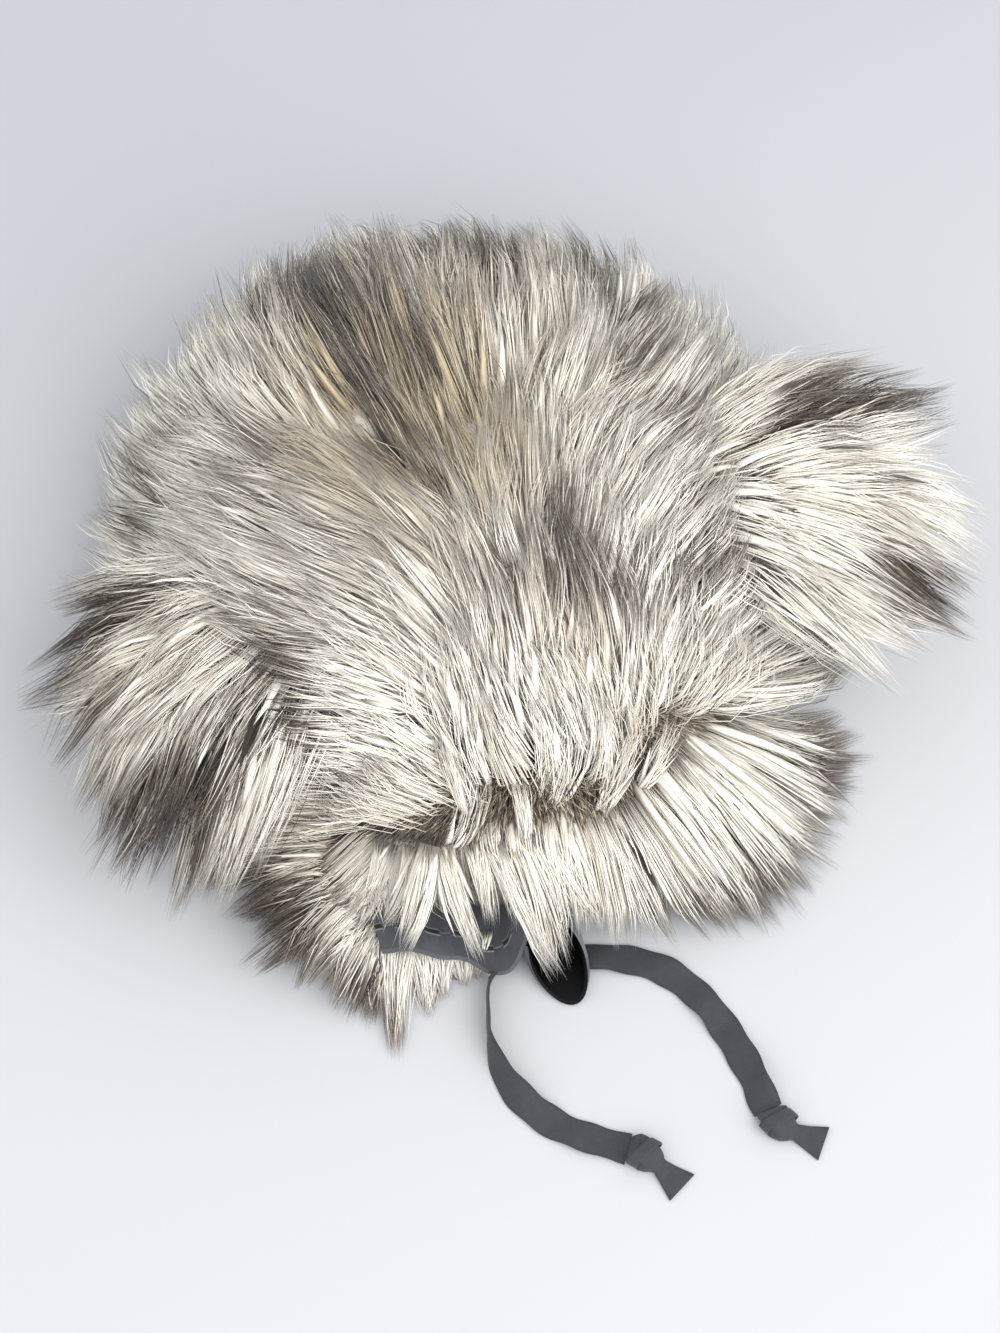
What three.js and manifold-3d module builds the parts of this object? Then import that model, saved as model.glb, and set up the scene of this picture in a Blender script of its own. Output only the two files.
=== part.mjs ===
// Faux fur bonnet with two soft ears. The hood stands upright on its neck edge, with the left chin
// corner and both tape ties laid out in front. Millimetres, +Z up, the face opening towards -Y.

import * as THREE from 'three';
import { mergeVertices } from 'three/addons/utils/BufferGeometryUtils.js';
import Module from 'manifold-3d';

const wasm = await Module();
wasm.setup();

// Driving dimensions

const DEG = Math.PI / 180;
const GAP = 0.3;

// Lowest point of any lock
const FLOOR = 0.3;

// Outside of the dense underfur: a rounded dome with a shallow dip along the middle of the crown
const DOME = { halfWidth: 78, halfDepth: 84, height: 88, squareness: 2.3, dip: 4, dipHalfWidth: 26 };
const DOME_MESH = { around: 30, rows: 7 };
const FUR_WALL = 7;
const LINING_WALL = 1.2;
const RIM_LIFT = 0.4;

// Face opening: an arch in the front of the hood, open at the floor. Its cutter runs from `front` to `back`
const FACE = { x: -4, halfWidth: 34, height: 30, straight: 4, front: -104, back: -24, below: -20 };

// Seam between crown and brim: a plane that slopes down towards the back, turned a little to one side
const SEAM = { y: -80, z: 50, slope: 45 * DEG, turn: 8 * DEG, bare: 3 };

// The pile leans away from this line above the brow
const PARTING = { halfLength: 42, y: -88, z: 52, turn: 8 * DEG };

// Rows of locks round the crown, from the neck edge to the top
const CROWN_ROWS = [
  { rise: 5, count: 22, length: 32, stand: 54, width: 25 },
  { rise: 17, count: 21, length: 34, stand: 54, width: 25 },
  { rise: 30, count: 19, length: 38, stand: 50, width: 25 },
  { rise: 44, count: 16, length: 44, stand: 42, width: 25 },
  { rise: 58, count: 12, length: 48, stand: 34, width: 30 },
  { rise: 72, count: 7, length: 50, stand: 28, width: 37 },
  { rise: 86, count: 3, length: 48, stand: 26, width: 37 },
];

// Rows of locks on the brim, from the floor to the seam
const BRIM_ROWS = [
  { rise: 4, count: 20, length: 36, stand: 50, width: 22 },
  { rise: 13, count: 22, length: 40, stand: 50, width: 22 },
  { rise: 20, count: 26, length: 50, stand: 40, width: 18 },
  { rise: 27, count: 28, length: 54, stand: 36, width: 18 },
];

// Locks along the seam itself, leaning up over the crown: distance from the middle of the seam
const SEAM_LOCKS = [-54, -42, -30, -18, -6, 6, 18, 30, 42, 54];
const SEAM_LOCK = { above: 5, length: 38, stand: 36, width: 19 };

// Each ear leans out from the side of the crown; `fall` tips its point down
const EARS = [
  { name: 'ear_left', side: -1, x: 64, y: -26, z: 58, fall: 10, length: 58, halfWidth: 34 },
  { name: 'ear_right', side: 1, x: 64, y: -18, z: 66, fall: -2, length: 56, halfWidth: 32 },
];
const EAR = { halfThick: 6, around: 10, reach: 66, roomMiddle: 41, roomWide: 50, roomThick: 24, clear: 4 };
const EAR_LOCK = { perRing: 6, length: 40, stand: 12, width: 25, flare: 0.45, steep: 1.6 };

// Chin corner: a flat wedge of fur on the surface, given by where its middle line runs
const CHIN_SECTIONS = [
  { x: -58, y: -50, halfWidth: 14, halfThick: 3.4 },
  { x: -59, y: -80, halfWidth: 18, halfThick: 3.4 },
  { x: -56, y: -94, halfWidth: 18, halfThick: 3.4 },
  { x: -51, y: -108, halfWidth: 15, halfThick: 3.0 },
  { x: -44, y: -120, halfWidth: 9, halfThick: 2.4 },
];
const CHIN_LOCKS = [
  { x: -74, y: -86, towards: 196, length: 40 },
  { x: -74, y: -96, towards: 208, length: 38 },
  { x: -68, y: -106, towards: 220, length: 36 },
  { x: -60, y: -115, towards: 232, length: 34 },
  { x: -51, y: -122, towards: 244, length: 28 },
  { x: -42, y: -126, towards: 258, length: 20 },
];
const CHIN_LOCK = { width: 14, stand: 2, root: 2.6, inset: 6 };

// Lining of the chin corner, across its width: a low wave that ends in a round fold open at the front
const CHIN_LINING_WAVE = [
  { x: -63, z: 9.2 },
  { x: -54, z: 10.6 },
  { x: -46, z: 9.6 },
  { x: -39, z: 8.6 },
  { x: -32, z: 5.2 },
  { x: -25, z: 5.6 },
];
const CHIN_FOLD = { x: -11, z: 9, radius: 8, from: 158, to: -190, turns: 8 };
const CHIN_LINING = { front: -150, back: -50, steps: 36 };
const CHIN_CUT = { x: -11, y: -142, z: 1, normal: [-0.26, -0.53, 0.81] };

// The lining of the chin corner is left out of this box, so that the way into the hood stays clear
const CHIN_CLEAR = { left: -34, right: 40, front: -92, back: 0 };

// Height that the hanging pile keeps above the chin corner and the ties
const UNDER_BRIM = { left: -80, right: 24, z: 19 };

// Tape ties: flat section, and the height of their middle above the surface
const TAPE = { width: 9.5, thick: 1.2, squareness: 0.3, z: 0.9, steps: 16 };
const TIE_LEFT_ROUTE = [
  [-31, -127.6], [-33, -131], [-34.6, -134.5], [-36, -139], [-37.1, -144], [-37.7, -149],
  [-37.6, -154.5], [-36.6, -160], [-34.6, -165.2], [-31.8, -170], [-28.4, -174.6], [-24.4, -178.8],
  [-19.8, -182.6], [-15, -185.8], [-10.4, -188.6], [-6, -191.2],
];
const TIE_RIGHT_ROUTE = [
  [-4, -128], [0, -129], [4, -130], [8, -131.4], [12, -133], [16, -135.2], [20, -138.2],
  [23.6, -142], [26.8, -146.4], [29.6, -151.4], [31.9, -156.8], [33.7, -162.6], [35.1, -168.6],
  [36.2, -174.8], [37, -180.8], [37.6, -186.4], [38.2, -190.6],
];

// Knot and flared tail: distance from the tape's end, half width and half thickness
const KNOT_SECTIONS = [
  { along: 0, wide: 3.4, thick: 1.0 },
  { along: 2.2, wide: 5.6, thick: 2.9 },
  { along: 5.6, wide: 6.0, thick: 3.4 },
  { along: 8.6, wide: 4.4, thick: 2.6 },
  { along: 10.8, wide: 2.6, thick: 1.5 },
  { along: 14.5, wide: 4.2, thick: 0.8 },
  { along: 20, wide: 6.4, thick: 0.6 },
];
const KNOT_BEND = 10;
const KNOT_TURN = { left: -58 * DEG, right: -36 * DEG };

// Materials, by piece

const furMaterial = () => new THREE.MeshStandardMaterial({ color: 0xd9d2c4, roughness: 0.95, metalness: 0 });
const liningMaterial = () => new THREE.MeshStandardMaterial({ color: 0x70747e, roughness: 0.55, metalness: 0 });
const tapeMaterial = () => new THREE.MeshStandardMaterial({ color: 0x50545c, roughness: 0.8, metalness: 0 });

// Closed surfaces and their joins

const vec = (x, y, z) => new THREE.Vector3(x, y, z);

// A closed surface through rings of points, where a ring of one point is a pole
function ringSolid(rings) {
  const positions = [];
  const firsts = [];
  for (const ring of rings) {
    firsts.push(positions.length / 3);
    for (const point of ring) positions.push(point.x, point.y, point.z);
  }
  const index = [];
  for (let r = 0; r + 1 < rings.length; r++) {
    const here = rings[r].length;
    const next = rings[r + 1].length;
    const around = Math.max(here, next);
    for (let i = 0; i < around; i++) {
      const j = (i + 1) % around;
      const [a, b] = [i, j].map((k) => firsts[r] + (here > 1 ? k : 0));
      const [c, d] = [i, j].map((k) => firsts[r + 1] + (next > 1 ? k : 0));
      if (here > 1) index.push(a, b, d);
      if (next > 1) index.push(a, d, c);
    }
  }
  const geometry = new THREE.BufferGeometry();
  geometry.setAttribute('position', new THREE.Float32BufferAttribute(positions, 3));
  geometry.setIndex(signedVolume(positions, index) < 0 ? index.reverse() : index);
  return geometry;
}

function signedVolume(positions, index) {
  let total = 0;
  for (let t = 0; t < index.length; t += 3) {
    const [a, b, c] = [0, 1, 2].map((k) => new THREE.Vector3().fromArray(positions, 3 * index[t + k]));
    total += a.dot(b.cross(c)) / 6;
  }
  return total;
}

function toSolid(geometry) {
  const bare = geometry.clone();
  bare.deleteAttribute('normal');
  bare.deleteAttribute('uv');
  const merged = mergeVertices(bare, 1e-4);
  return new wasm.Manifold(new wasm.Mesh({
    numProp: 3,
    vertProperties: Float32Array.from(merged.attributes.position.array),
    triVerts: Uint32Array.from(merged.index.array),
  }));
}

function toMesh(name, solid, material) {
  const { vertProperties, triVerts } = solid.getMesh();
  const geometry = new THREE.BufferGeometry();
  geometry.setAttribute('position', new THREE.Float32BufferAttribute(vertProperties, 3));
  geometry.setIndex(Array.from(triVerts));
  geometry.computeVertexNormals();
  const mesh = new THREE.Mesh(geometry, material);
  mesh.name = name;
  return mesh;
}

// A large block on one side of a plane, for cutting
function halfSpace(point, outward) {
  const size = 600;
  const block = new THREE.BoxGeometry(size, size, size).toNonIndexed();
  block.translate(0, 0, size / 2);
  block.applyQuaternion(new THREE.Quaternion().setFromUnitVectors(vec(0, 0, 1), outward.clone().normalize()));
  block.translate(point.x, point.y, point.z);
  return toSolid(block);
}

// The dome

// A point of the dome: `turn` goes round the hood, `rise` from the neck edge to the top
function domePoint(turn, rise, grow = 0) {
  const power = 2 / DOME.squareness;
  const flat = Math.cos(rise) ** power;
  const x = (DOME.halfWidth + grow) * Math.cos(turn) * flat;
  const y = (DOME.halfDepth + grow) * Math.sin(turn) * flat;
  const dip = DOME.dip * Math.exp(-((x / DOME.dipHalfWidth) ** 2)) * Math.sin(rise) ** 2;
  return vec(x, y, (DOME.height + grow - dip) * Math.sin(rise) ** power);
}

function domeNormal(turn, rise) {
  const step = 0.01;
  const up = Math.min(rise, Math.PI / 2 - 2 * step);
  const around = domePoint(turn + step, up).sub(domePoint(turn - step, up));
  const along = domePoint(turn, up + step).sub(domePoint(turn, Math.max(up - step, 0)));
  return around.cross(along).normalize();
}

// A hollow dome: down the outside, across the neck edge and up the inside
function domeShell(outside, inside, lift) {
  const { around, rows } = DOME_MESH;
  const ring = (grow, row) => {
    const rise = (row / rows) * (Math.PI / 2);
    if (row === rows) return [domePoint(0, Math.PI / 2, grow)];
    const points = [];
    for (let i = 0; i < around; i++) {
      const point = domePoint((i / around) * 2 * Math.PI, rise, grow);
      point.z = Math.max(point.z, lift);
      points.push(point);
    }
    return points;
  };
  const rings = [];
  for (let row = rows; row >= 0; row--) rings.push(ring(outside, row));
  for (let row = 0; row <= rows; row++) rings.push(ring(inside, row));
  return toSolid(ringSolid(rings));
}

// The dome filled in, for cutting what stands on it
function domeSolid(grow) {
  const rows = DOME_MESH.rows;
  const rings = [[domePoint(0, Math.PI / 2, grow)]];
  for (let row = rows - 1; row >= 0; row--) {
    const ring = [];
    for (let i = 0; i < DOME_MESH.around; i++) {
      ring.push(domePoint((i / DOME_MESH.around) * 2 * Math.PI, (row / rows) * (Math.PI / 2), grow));
    }
    rings.push(ring);
  }
  rings.push([vec(0, 0, 0)]);
  return toSolid(ringSolid(rings));
}

// The arch of the face opening, run through the front wall
function faceArch() {
  const { x, halfWidth, height, straight, front, back, below } = FACE;
  const arch = new THREE.Shape();
  arch.moveTo(-halfWidth, below);
  arch.lineTo(halfWidth, below);
  arch.lineTo(halfWidth, straight);
  arch.absellipse(0, straight, halfWidth, height - straight, 0, Math.PI, false, 0);
  arch.lineTo(-halfWidth, below);
  const block = new THREE.ExtrudeGeometry(arch, { depth: back - front, bevelEnabled: false, curveSegments: 8 });
  block.rotateX(90 * DEG);
  block.translate(x, back, 0);
  return toSolid(block);
}

// The pile

// Direction across the surface in which the pile leans, away from the parting
function combAt(point, normal) {
  const along = vec(Math.cos(PARTING.turn), Math.sin(PARTING.turn), 0);
  const middle = vec(0, PARTING.y, PARTING.z);
  const across = point.clone().sub(middle).dot(along);
  const reach = THREE.MathUtils.clamp(across, -PARTING.halfLength, PARTING.halfLength);
  const away = point.clone().sub(middle.addScaledVector(along, reach));
  return away.addScaledVector(normal, -away.dot(normal)).normalize();
}

// One lock: a three-sided spike, flat below and ridged above, that leaves the backing steeply
// and bends over to lie along `comb`
const LOCK_STATIONS = [
  { along: 0, wide: 1 },
  { along: 0.38, wide: 0.95 },
  { along: 0.72, wide: 0.56 },
];
const LOCK_SAMPLES = [0, 0.4, 0.7, 1];
const LOCK_SECTION = [[1, -0.6], [0, 1], [-1, -0.6]];
const LOCK = { root: 3, flatness: 0.5, sag: 8, lean: 1.25, lift: 1.7, above: 0.2 };

function lockCentre(root, normal, comb, { length, stand }, along, floor) {
  const centre = root.clone();
  centre.addScaledVector(comb, length * along ** LOCK.lean);
  centre.addScaledVector(normal, stand * (1 - (1 - along) ** LOCK.lift) - LOCK.root * (1 - along) ** 4);
  centre.z -= LOCK.sag * along ** 2;
  centre.z = Math.max(centre.z, floor);
  return centre;
}

// The surface that a lock may come down to: the floor, or what lies in front of the face opening
function pileFloor(root) {
  const overChin = root.y < 0 && root.x > UNDER_BRIM.left && root.x < UNDER_BRIM.right;
  return overChin ? UNDER_BRIM.z : FLOOR;
}

function lock(root, normal, comb, size, floor) {
  const side = vec(0, 0, 0).crossVectors(comb, normal).normalize();
  const half = size.width / 2;
  const buried = root.clone().addScaledVector(normal, -LOCK.root - 1);
  const rings = [[buried.setZ(Math.max(buried.z, floor))]];
  for (const { along, wide } of LOCK_STATIONS) {
    const thick = half * LOCK.flatness * wide;
    const low = floor + thick + LOCK.above;
    const centre = lockCentre(root, normal, comb, size, along, low);
    const ahead = lockCentre(root, normal, comb, size, along + 0.05, low).sub(centre).normalize();
    const up = vec(0, 0, 0).crossVectors(side, ahead).normalize();
    const ring = LOCK_SECTION.map(([across, above]) => {
      const point = centre.clone().addScaledVector(side, across * half * wide);
      point.addScaledVector(up, above * thick);
      point.z = Math.max(point.z, floor);
      return point;
    });
    rings.push(ring);
  }
  rings.push([lockCentre(root, normal, comb, size, 1, floor + LOCK.above)]);
  return toSolid(ringSolid(rings));
}

// Roots in staggered rows round the dome
function domeRoots(rows) {
  const roots = [];
  rows.forEach((row, r) => {
    for (let i = 0; i < row.count; i++) {
      const turn = ((i + 0.5 * (r % 2)) / row.count) * 2 * Math.PI;
      const rise = row.rise * DEG;
      const point = domePoint(turn, rise);
      const normal = domeNormal(turn, rise);
      roots.push({ ...row, turn, point, normal, comb: combAt(point, normal) });
    }
  });
  return roots;
}

// Where the seam plane meets the dome, at a distance across from its middle, and a little above it
function seamRoots() {
  return SEAM_LOCKS.map((across) => {
    const turn = -90 * DEG + Math.asin(across / DOME.halfWidth);
    let rise = 0;
    while (inFrontOfSeam(domePoint(turn, rise)) > -SEAM_LOCK.above) rise += 0.5 * DEG;
    const point = domePoint(turn, rise);
    const normal = domeNormal(turn, rise);
    return { ...SEAM_LOCK, point, normal, comb: combAt(point, normal) };
  });
}

// Signed distance in front of the seam plane
const seamNormal = vec(0, -Math.sin(SEAM.slope), -Math.cos(SEAM.slope)).applyAxisAngle(vec(0, 0, 1), SEAM.turn);
const seamPoint = vec(0, SEAM.y, SEAM.z);
const inFrontOfSeam = (point) => point.clone().sub(seamPoint).dot(seamNormal);

// Ears

// An ear's own directions: out along its length, across its width and through its thickness
function earFrame({ side, fall }) {
  const out = vec(side * Math.cos(fall * DEG), 0, -Math.sin(fall * DEG));
  const across = vec(0, 1, 0);
  const through = vec(0, 0, 0).crossVectors(out, across).multiplyScalar(side);
  return { out, across, through };
}

const earBase = ({ side, x, y, z }) => vec(side * x, y, z);

// How far into the room kept for an ear a point lies; below 1 is inside
function earRoom(ear, point, margin) {
  const { out, across, through } = earFrame(ear);
  const offset = point.clone().sub(earBase(ear).addScaledVector(out, EAR.roomMiddle));
  const parts = [
    offset.dot(out) / (EAR.reach + margin),
    offset.dot(across) / (EAR.roomWide + margin),
    offset.dot(through) / (EAR.roomThick + margin),
  ];
  return Math.hypot(...parts);
}

// Whether a lock of the crown would run into the room kept for an ear
function meetsEar({ point, normal, comb, ...size }) {
  const samples = LOCK_SAMPLES.map((along) => lockCentre(point, normal, comb, size, along, FLOOR));
  return EARS.some((ear) => samples.some((sample) => earRoom(ear, sample, EAR.clear) < 1));
}

// A padded triangle with a round point, seen as rings from its base to its tip
const EAR_SECTIONS = [
  { along: -0.35, wide: 0.55, thick: 0.8 },
  { along: 0.12, wide: 0.92, thick: 0.9 },
  { along: 0.38, wide: 1.0, thick: 1.0 },
  { along: 0.64, wide: 0.86, thick: 1.0 },
  { along: 0.86, wide: 0.54, thick: 0.8 },
];

function earPoint(ear, along, wide, thick, turn) {
  const { out, across, through } = earFrame(ear);
  const point = earBase(ear).addScaledVector(out, along * ear.length);
  point.addScaledVector(across, Math.cos(turn) * wide * ear.halfWidth);
  return point.addScaledVector(through, Math.sin(turn) * thick * EAR.halfThick);
}

function earSolid(ear) {
  const { out, across, through } = earFrame(ear);
  const rings = [[earPoint(ear, EAR_SECTIONS[0].along, 0, 0, 0)]];
  for (const { along, wide, thick } of EAR_SECTIONS) {
    const ring = [];
    for (let i = 0; i < EAR.around; i++) {
      ring.push(earPoint(ear, along, wide, thick, (i / EAR.around) * 2 * Math.PI));
    }
    rings.push(ring);
  }
  rings.push([earPoint(ear, 1, 0, 0, 0)]);
  let solid = toSolid(ringSolid(rings));
  EAR_SECTIONS.slice(1).forEach(({ along, wide, thick }, r) => {
    for (let i = 0; i < EAR_LOCK.perRing; i++) {
      const turn = ((i + 0.5 * ((r + 1) % 2)) / EAR_LOCK.perRing) * 2 * Math.PI;
      const root = earPoint(ear, along, wide, thick, turn);
      const normal = across.clone().multiplyScalar(Math.cos(turn));
      normal.addScaledVector(through, EAR_LOCK.steep * Math.sin(turn)).normalize();
      const comb = out.clone().addScaledVector(across, EAR_LOCK.flare * Math.cos(turn));
      comb.addScaledVector(normal, -comb.dot(normal)).normalize();
      solid = solid.add(lock(root, normal, comb, EAR_LOCK, FLOOR));
    }
  });
  return solid.subtract(domeSolid(GAP));
}

// Crown, brim and lining

function crownAndBrim() {
  const wall = domeShell(0, -FUR_WALL, 0).subtract(faceArch());
  const front = halfSpace(seamPoint.clone().addScaledVector(seamNormal, -GAP / 2), seamNormal);
  const back = halfSpace(seamPoint.clone().addScaledVector(seamNormal, GAP / 2), seamNormal.clone().negate());

  let crown = wall;
  for (const root of [...domeRoots(CROWN_ROWS), ...seamRoots()]) {
    if (inFrontOfSeam(root.point) > -SEAM.bare || meetsEar(root)) continue;
    crown = crown.add(lock(root.point, root.normal, root.comb, root, FLOOR));
  }
  let brim = wall;
  for (const root of domeRoots(BRIM_ROWS)) {
    const overFace = Math.abs(root.point.x - FACE.x) < FACE.halfWidth && root.point.z < FACE.height + 2;
    if (inFrontOfSeam(root.point) < SEAM.bare || overFace || root.point.z < pileFloor(root.point)) continue;
    brim = brim.add(lock(root.point, root.normal, root.comb, root, pileFloor(root.point)));
  }
  return { crown: crown.subtract(front), brim: brim.subtract(back) };
}

function liningSolid() {
  const outside = -FUR_WALL - GAP;
  return domeShell(outside, outside - LINING_WALL, RIM_LIFT).subtract(faceArch());
}

// Chin corner

function chinFurSolid() {
  const ring = ({ x, y, halfWidth, halfThick }) => {
    const points = [];
    for (let i = 0; i < 8; i++) {
      const angle = ((i + 0.5) / 8) * 2 * Math.PI;
      const z = FLOOR + halfThick + Math.sin(angle) * halfThick;
      points.push(vec(x + Math.cos(angle) * halfWidth, y, z));
    }
    return points;
  };
  const middle = ({ x, y, halfThick }) => [vec(x, y, halfThick)];
  const last = CHIN_SECTIONS[CHIN_SECTIONS.length - 1];
  let chin = toSolid(ringSolid([middle(CHIN_SECTIONS[0]), ...CHIN_SECTIONS.map(ring), middle(last)]));
  for (const { x, y, towards, length } of CHIN_LOCKS) {
    const out = vec(Math.cos(towards * DEG), Math.sin(towards * DEG), 0);
    const root = vec(x, y, CHIN_LOCK.root).addScaledVector(out, -CHIN_LOCK.inset);
    chin = chin.add(lock(root, vec(0, 0, 1), out, { ...CHIN_LOCK, length }, FLOOR));
  }
  return chin.subtract(domeSolid(GAP));
}

// A strip of even thickness along a curve, as a closed outline
function stripOutline(points, wall, steps) {
  const curve = new THREE.CatmullRomCurve3(points.map(([x, z]) => vec(x, z, 0)));
  const [left, right] = [[], []];
  for (let i = 0; i <= steps; i++) {
    const at = curve.getPointAt(i / steps);
    const ahead = curve.getTangentAt(i / steps);
    left.push(new THREE.Vector2(at.x - ahead.y * wall / 2, at.y + ahead.x * wall / 2));
    right.push(new THREE.Vector2(at.x + ahead.y * wall / 2, at.y - ahead.x * wall / 2));
  }
  return new THREE.Shape([...left, ...right.reverse()]);
}

function chinLiningSolid() {
  const points = CHIN_LINING_WAVE.map(({ x, z }) => [x, z]);
  const { turns, from, to, radius } = CHIN_FOLD;
  for (let i = 0; i <= turns; i++) {
    const angle = THREE.MathUtils.lerp(from, to, i / turns) * DEG;
    points.push([CHIN_FOLD.x + radius * Math.cos(angle), CHIN_FOLD.z + radius * Math.sin(angle)]);
  }
  const outline = stripOutline(points, LINING_WALL, CHIN_LINING.steps);
  const depth = CHIN_LINING.back - CHIN_LINING.front;
  const strip = new THREE.ExtrudeGeometry(outline, { depth, bevelEnabled: false });
  strip.rotateX(90 * DEG);
  strip.translate(0, CHIN_LINING.back, 0);
  const { x, y, z, normal } = CHIN_CUT;
  const front = halfSpace(vec(x, y, z), vec(...normal));
  const { left, right, front: near, back } = CHIN_CLEAR;
  const clear = new THREE.BoxGeometry(right - left, back - near, DOME.height).toNonIndexed();
  clear.translate((left + right) / 2, (near + back) / 2, 0);
  return toSolid(strip).subtract(front).subtract(toSolid(clear)).subtract(domeSolid(GAP));
}

// Ties and knots

function tieSolid(route) {
  const section = new THREE.Shape();
  for (let i = 0; i < 8; i++) {
    const [c, d] = [Math.cos, Math.sin].map((f) => f(((i + 0.5) / 8) * 2 * Math.PI));
    const [x, y] = [c, d].map((v) => Math.sign(v) * Math.abs(v) ** TAPE.squareness);
    const corner = [(x * TAPE.thick) / 2, (y * TAPE.width) / 2];
    if (i === 0) section.moveTo(...corner);
    else section.lineTo(...corner);
  }
  const points = route.map(([x, y]) => vec(x, y, TAPE.z));
  const path = new THREE.CatmullRomCurve3(points, false, 'centripetal');
  const settings = { steps: TAPE.steps, bevelEnabled: false, extrudePath: path };
  return toSolid(new THREE.ExtrudeGeometry(section, settings));
}

// The knot leaves the tape in line with it and bends over to its own direction
function knotSolid(route, turn) {
  const [before, end] = route.slice(-2);
  const tapeTurn = Math.atan2(end[1] - before[1], end[0] - before[0]);
  const centre = vec(end[0], end[1], 0);
  let [along, ahead] = [0, vec(Math.cos(tapeTurn), Math.sin(tapeTurn), 0)];
  centre.addScaledVector(ahead, GAP);
  const rings = [];
  const middles = [];
  for (const section of KNOT_SECTIONS) {
    const angle = THREE.MathUtils.lerp(tapeTurn, turn, Math.min(section.along / KNOT_BEND, 1));
    ahead = vec(Math.cos(angle), Math.sin(angle), 0);
    const side = vec(-ahead.y, ahead.x, 0);
    centre.addScaledVector(ahead, section.along - along);
    along = section.along;
    const middle = centre.clone().setZ(section.thick + 0.05);
    const ring = [];
    for (let i = 0; i < 8; i++) {
      const around = ((i + 0.5) / 8) * 2 * Math.PI;
      const point = middle.clone().addScaledVector(side, Math.cos(around) * section.wide);
      point.z += Math.sin(around) * section.thick;
      ring.push(point);
    }
    rings.push(ring);
    middles.push([middle]);
  }
  return toSolid(ringSolid([middles[0], ...rings, middles[middles.length - 1]]));
}

// The whole bonnet

const bonnet = new THREE.Group();
const { crown, brim } = crownAndBrim();
bonnet.add(toMesh('crown_fur', crown, furMaterial()));
bonnet.add(toMesh('brim_fur', brim, furMaterial()));
bonnet.add(toMesh('lining', liningSolid(), liningMaterial()));
bonnet.add(toMesh('chin_fur', chinFurSolid(), furMaterial()));
bonnet.add(toMesh('chin_lining', chinLiningSolid(), liningMaterial()));
for (const ear of EARS) bonnet.add(toMesh(ear.name, earSolid(ear), furMaterial()));
bonnet.add(toMesh('tie_left', tieSolid(TIE_LEFT_ROUTE), tapeMaterial()));
bonnet.add(toMesh('tie_right', tieSolid(TIE_RIGHT_ROUTE), tapeMaterial()));
bonnet.add(toMesh('tie_left_knot', knotSolid(TIE_LEFT_ROUTE, KNOT_TURN.left), tapeMaterial()));
bonnet.add(toMesh('tie_right_knot', knotSolid(TIE_RIGHT_ROUTE, KNOT_TURN.right), tapeMaterial()));

export default bonnet;
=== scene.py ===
import math

import bmesh
import bpy
import numpy as np
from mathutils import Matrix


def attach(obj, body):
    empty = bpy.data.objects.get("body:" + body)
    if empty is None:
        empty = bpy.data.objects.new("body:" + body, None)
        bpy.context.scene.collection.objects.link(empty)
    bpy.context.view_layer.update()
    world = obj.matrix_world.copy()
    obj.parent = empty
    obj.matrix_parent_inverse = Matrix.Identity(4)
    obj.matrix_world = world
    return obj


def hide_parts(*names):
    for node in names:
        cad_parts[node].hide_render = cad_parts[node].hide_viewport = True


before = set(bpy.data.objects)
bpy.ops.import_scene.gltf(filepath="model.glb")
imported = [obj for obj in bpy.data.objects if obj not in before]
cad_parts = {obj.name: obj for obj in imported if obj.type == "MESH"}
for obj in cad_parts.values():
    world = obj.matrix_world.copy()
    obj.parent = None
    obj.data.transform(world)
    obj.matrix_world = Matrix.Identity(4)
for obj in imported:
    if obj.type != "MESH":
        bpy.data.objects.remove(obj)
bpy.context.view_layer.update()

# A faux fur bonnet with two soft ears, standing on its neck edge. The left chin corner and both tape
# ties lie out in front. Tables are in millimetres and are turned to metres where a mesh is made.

MM = 0.001

# Driving dimensions, the same as in the part's source

GAP = 0.3
DOME = {"half_width": 78, "half_depth": 84, "height": 88, "squareness": 2.3, "dip": 4, "dip_half_width": 26}
FUR_WALL = 7
LINING_WALL = 1.2
RIM_LIFT = 0.4
FACE = {"x": -4, "half_width": 34, "height": 30, "straight": 4, "front": -104, "back": -24, "below": -20}
LEAN_POWER, LIFT_POWER, SAG = 1.25, 1.7, 8

# Length and stand of the pile by the height of its root, in degrees of rise
CROWN_PILE = {
    "rise": [0, 5, 17, 30, 44, 58, 72, 90],
    "length": [32, 32, 34, 38, 44, 48, 50, 50],
    "stand": [54, 54, 52, 46, 37, 29, 23, 21],
}
BRIM_PILE = {
    "rise": [0, 4, 13, 20, 27, 60],
    "length": [36, 36, 40, 48, 52, 52],
    "stand": [52, 54, 56, 54, 48, 44],
}

# The brow is thicker than the rest, where the brim is turned up on the hood
BROW = {"turn": 268, "half_turn": 42, "low": 4, "full": 14, "ends": 34, "gone": 62, "thick": 10}

# The seam between crown and brim, in degrees round the hood and up from its neck edge, and how many degrees
# to each side of it are bare
SEAM_LINE = {
    "turn": [225, 235, 243, 250, 255, 261, 270, 278, 284, 291, 302, 312, 320],
    "rise": [0, 4, 9, 15, 19, 20.5, 19, 16.5, 18.5, 22.5, 18.5, 10, 0],
}
SEAM_BARE = 1.6

# The pile leans away from the part of the seam between two turns, as if from split degrees beyond it. The
# grey of the roots shows up to ashen millimetres off it. Up to sparse_to degrees off it the pile is thinned
PARTING = {
    "first": 234, "last": 303, "steps": 48, "split": 5, "soft": 5, "reach": (22, 74), "clear": 4, "ashen": 24,
    "crown_cover": 0.4, "brim_cover": 0.75, "sparse_to": 9,
    "turn": [232, 240, 284, 300], "crown_ashen": [0, 1, 1, 0.2], "brim_ashen": [0, 0.3, 0.3, 0],
}

# Above the parting the crown's pile is longer and lies flatter
FRONT_SHARE = {
    "turn": [222, 236, 246, 290, 302, 316],
    "stand": [0.95, 0.6, 0.45, 0.45, 0.7, 0.95],
    "length": [1.0, 1.15, 1.25, 1.25, 1.15, 1.0],
}

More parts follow.
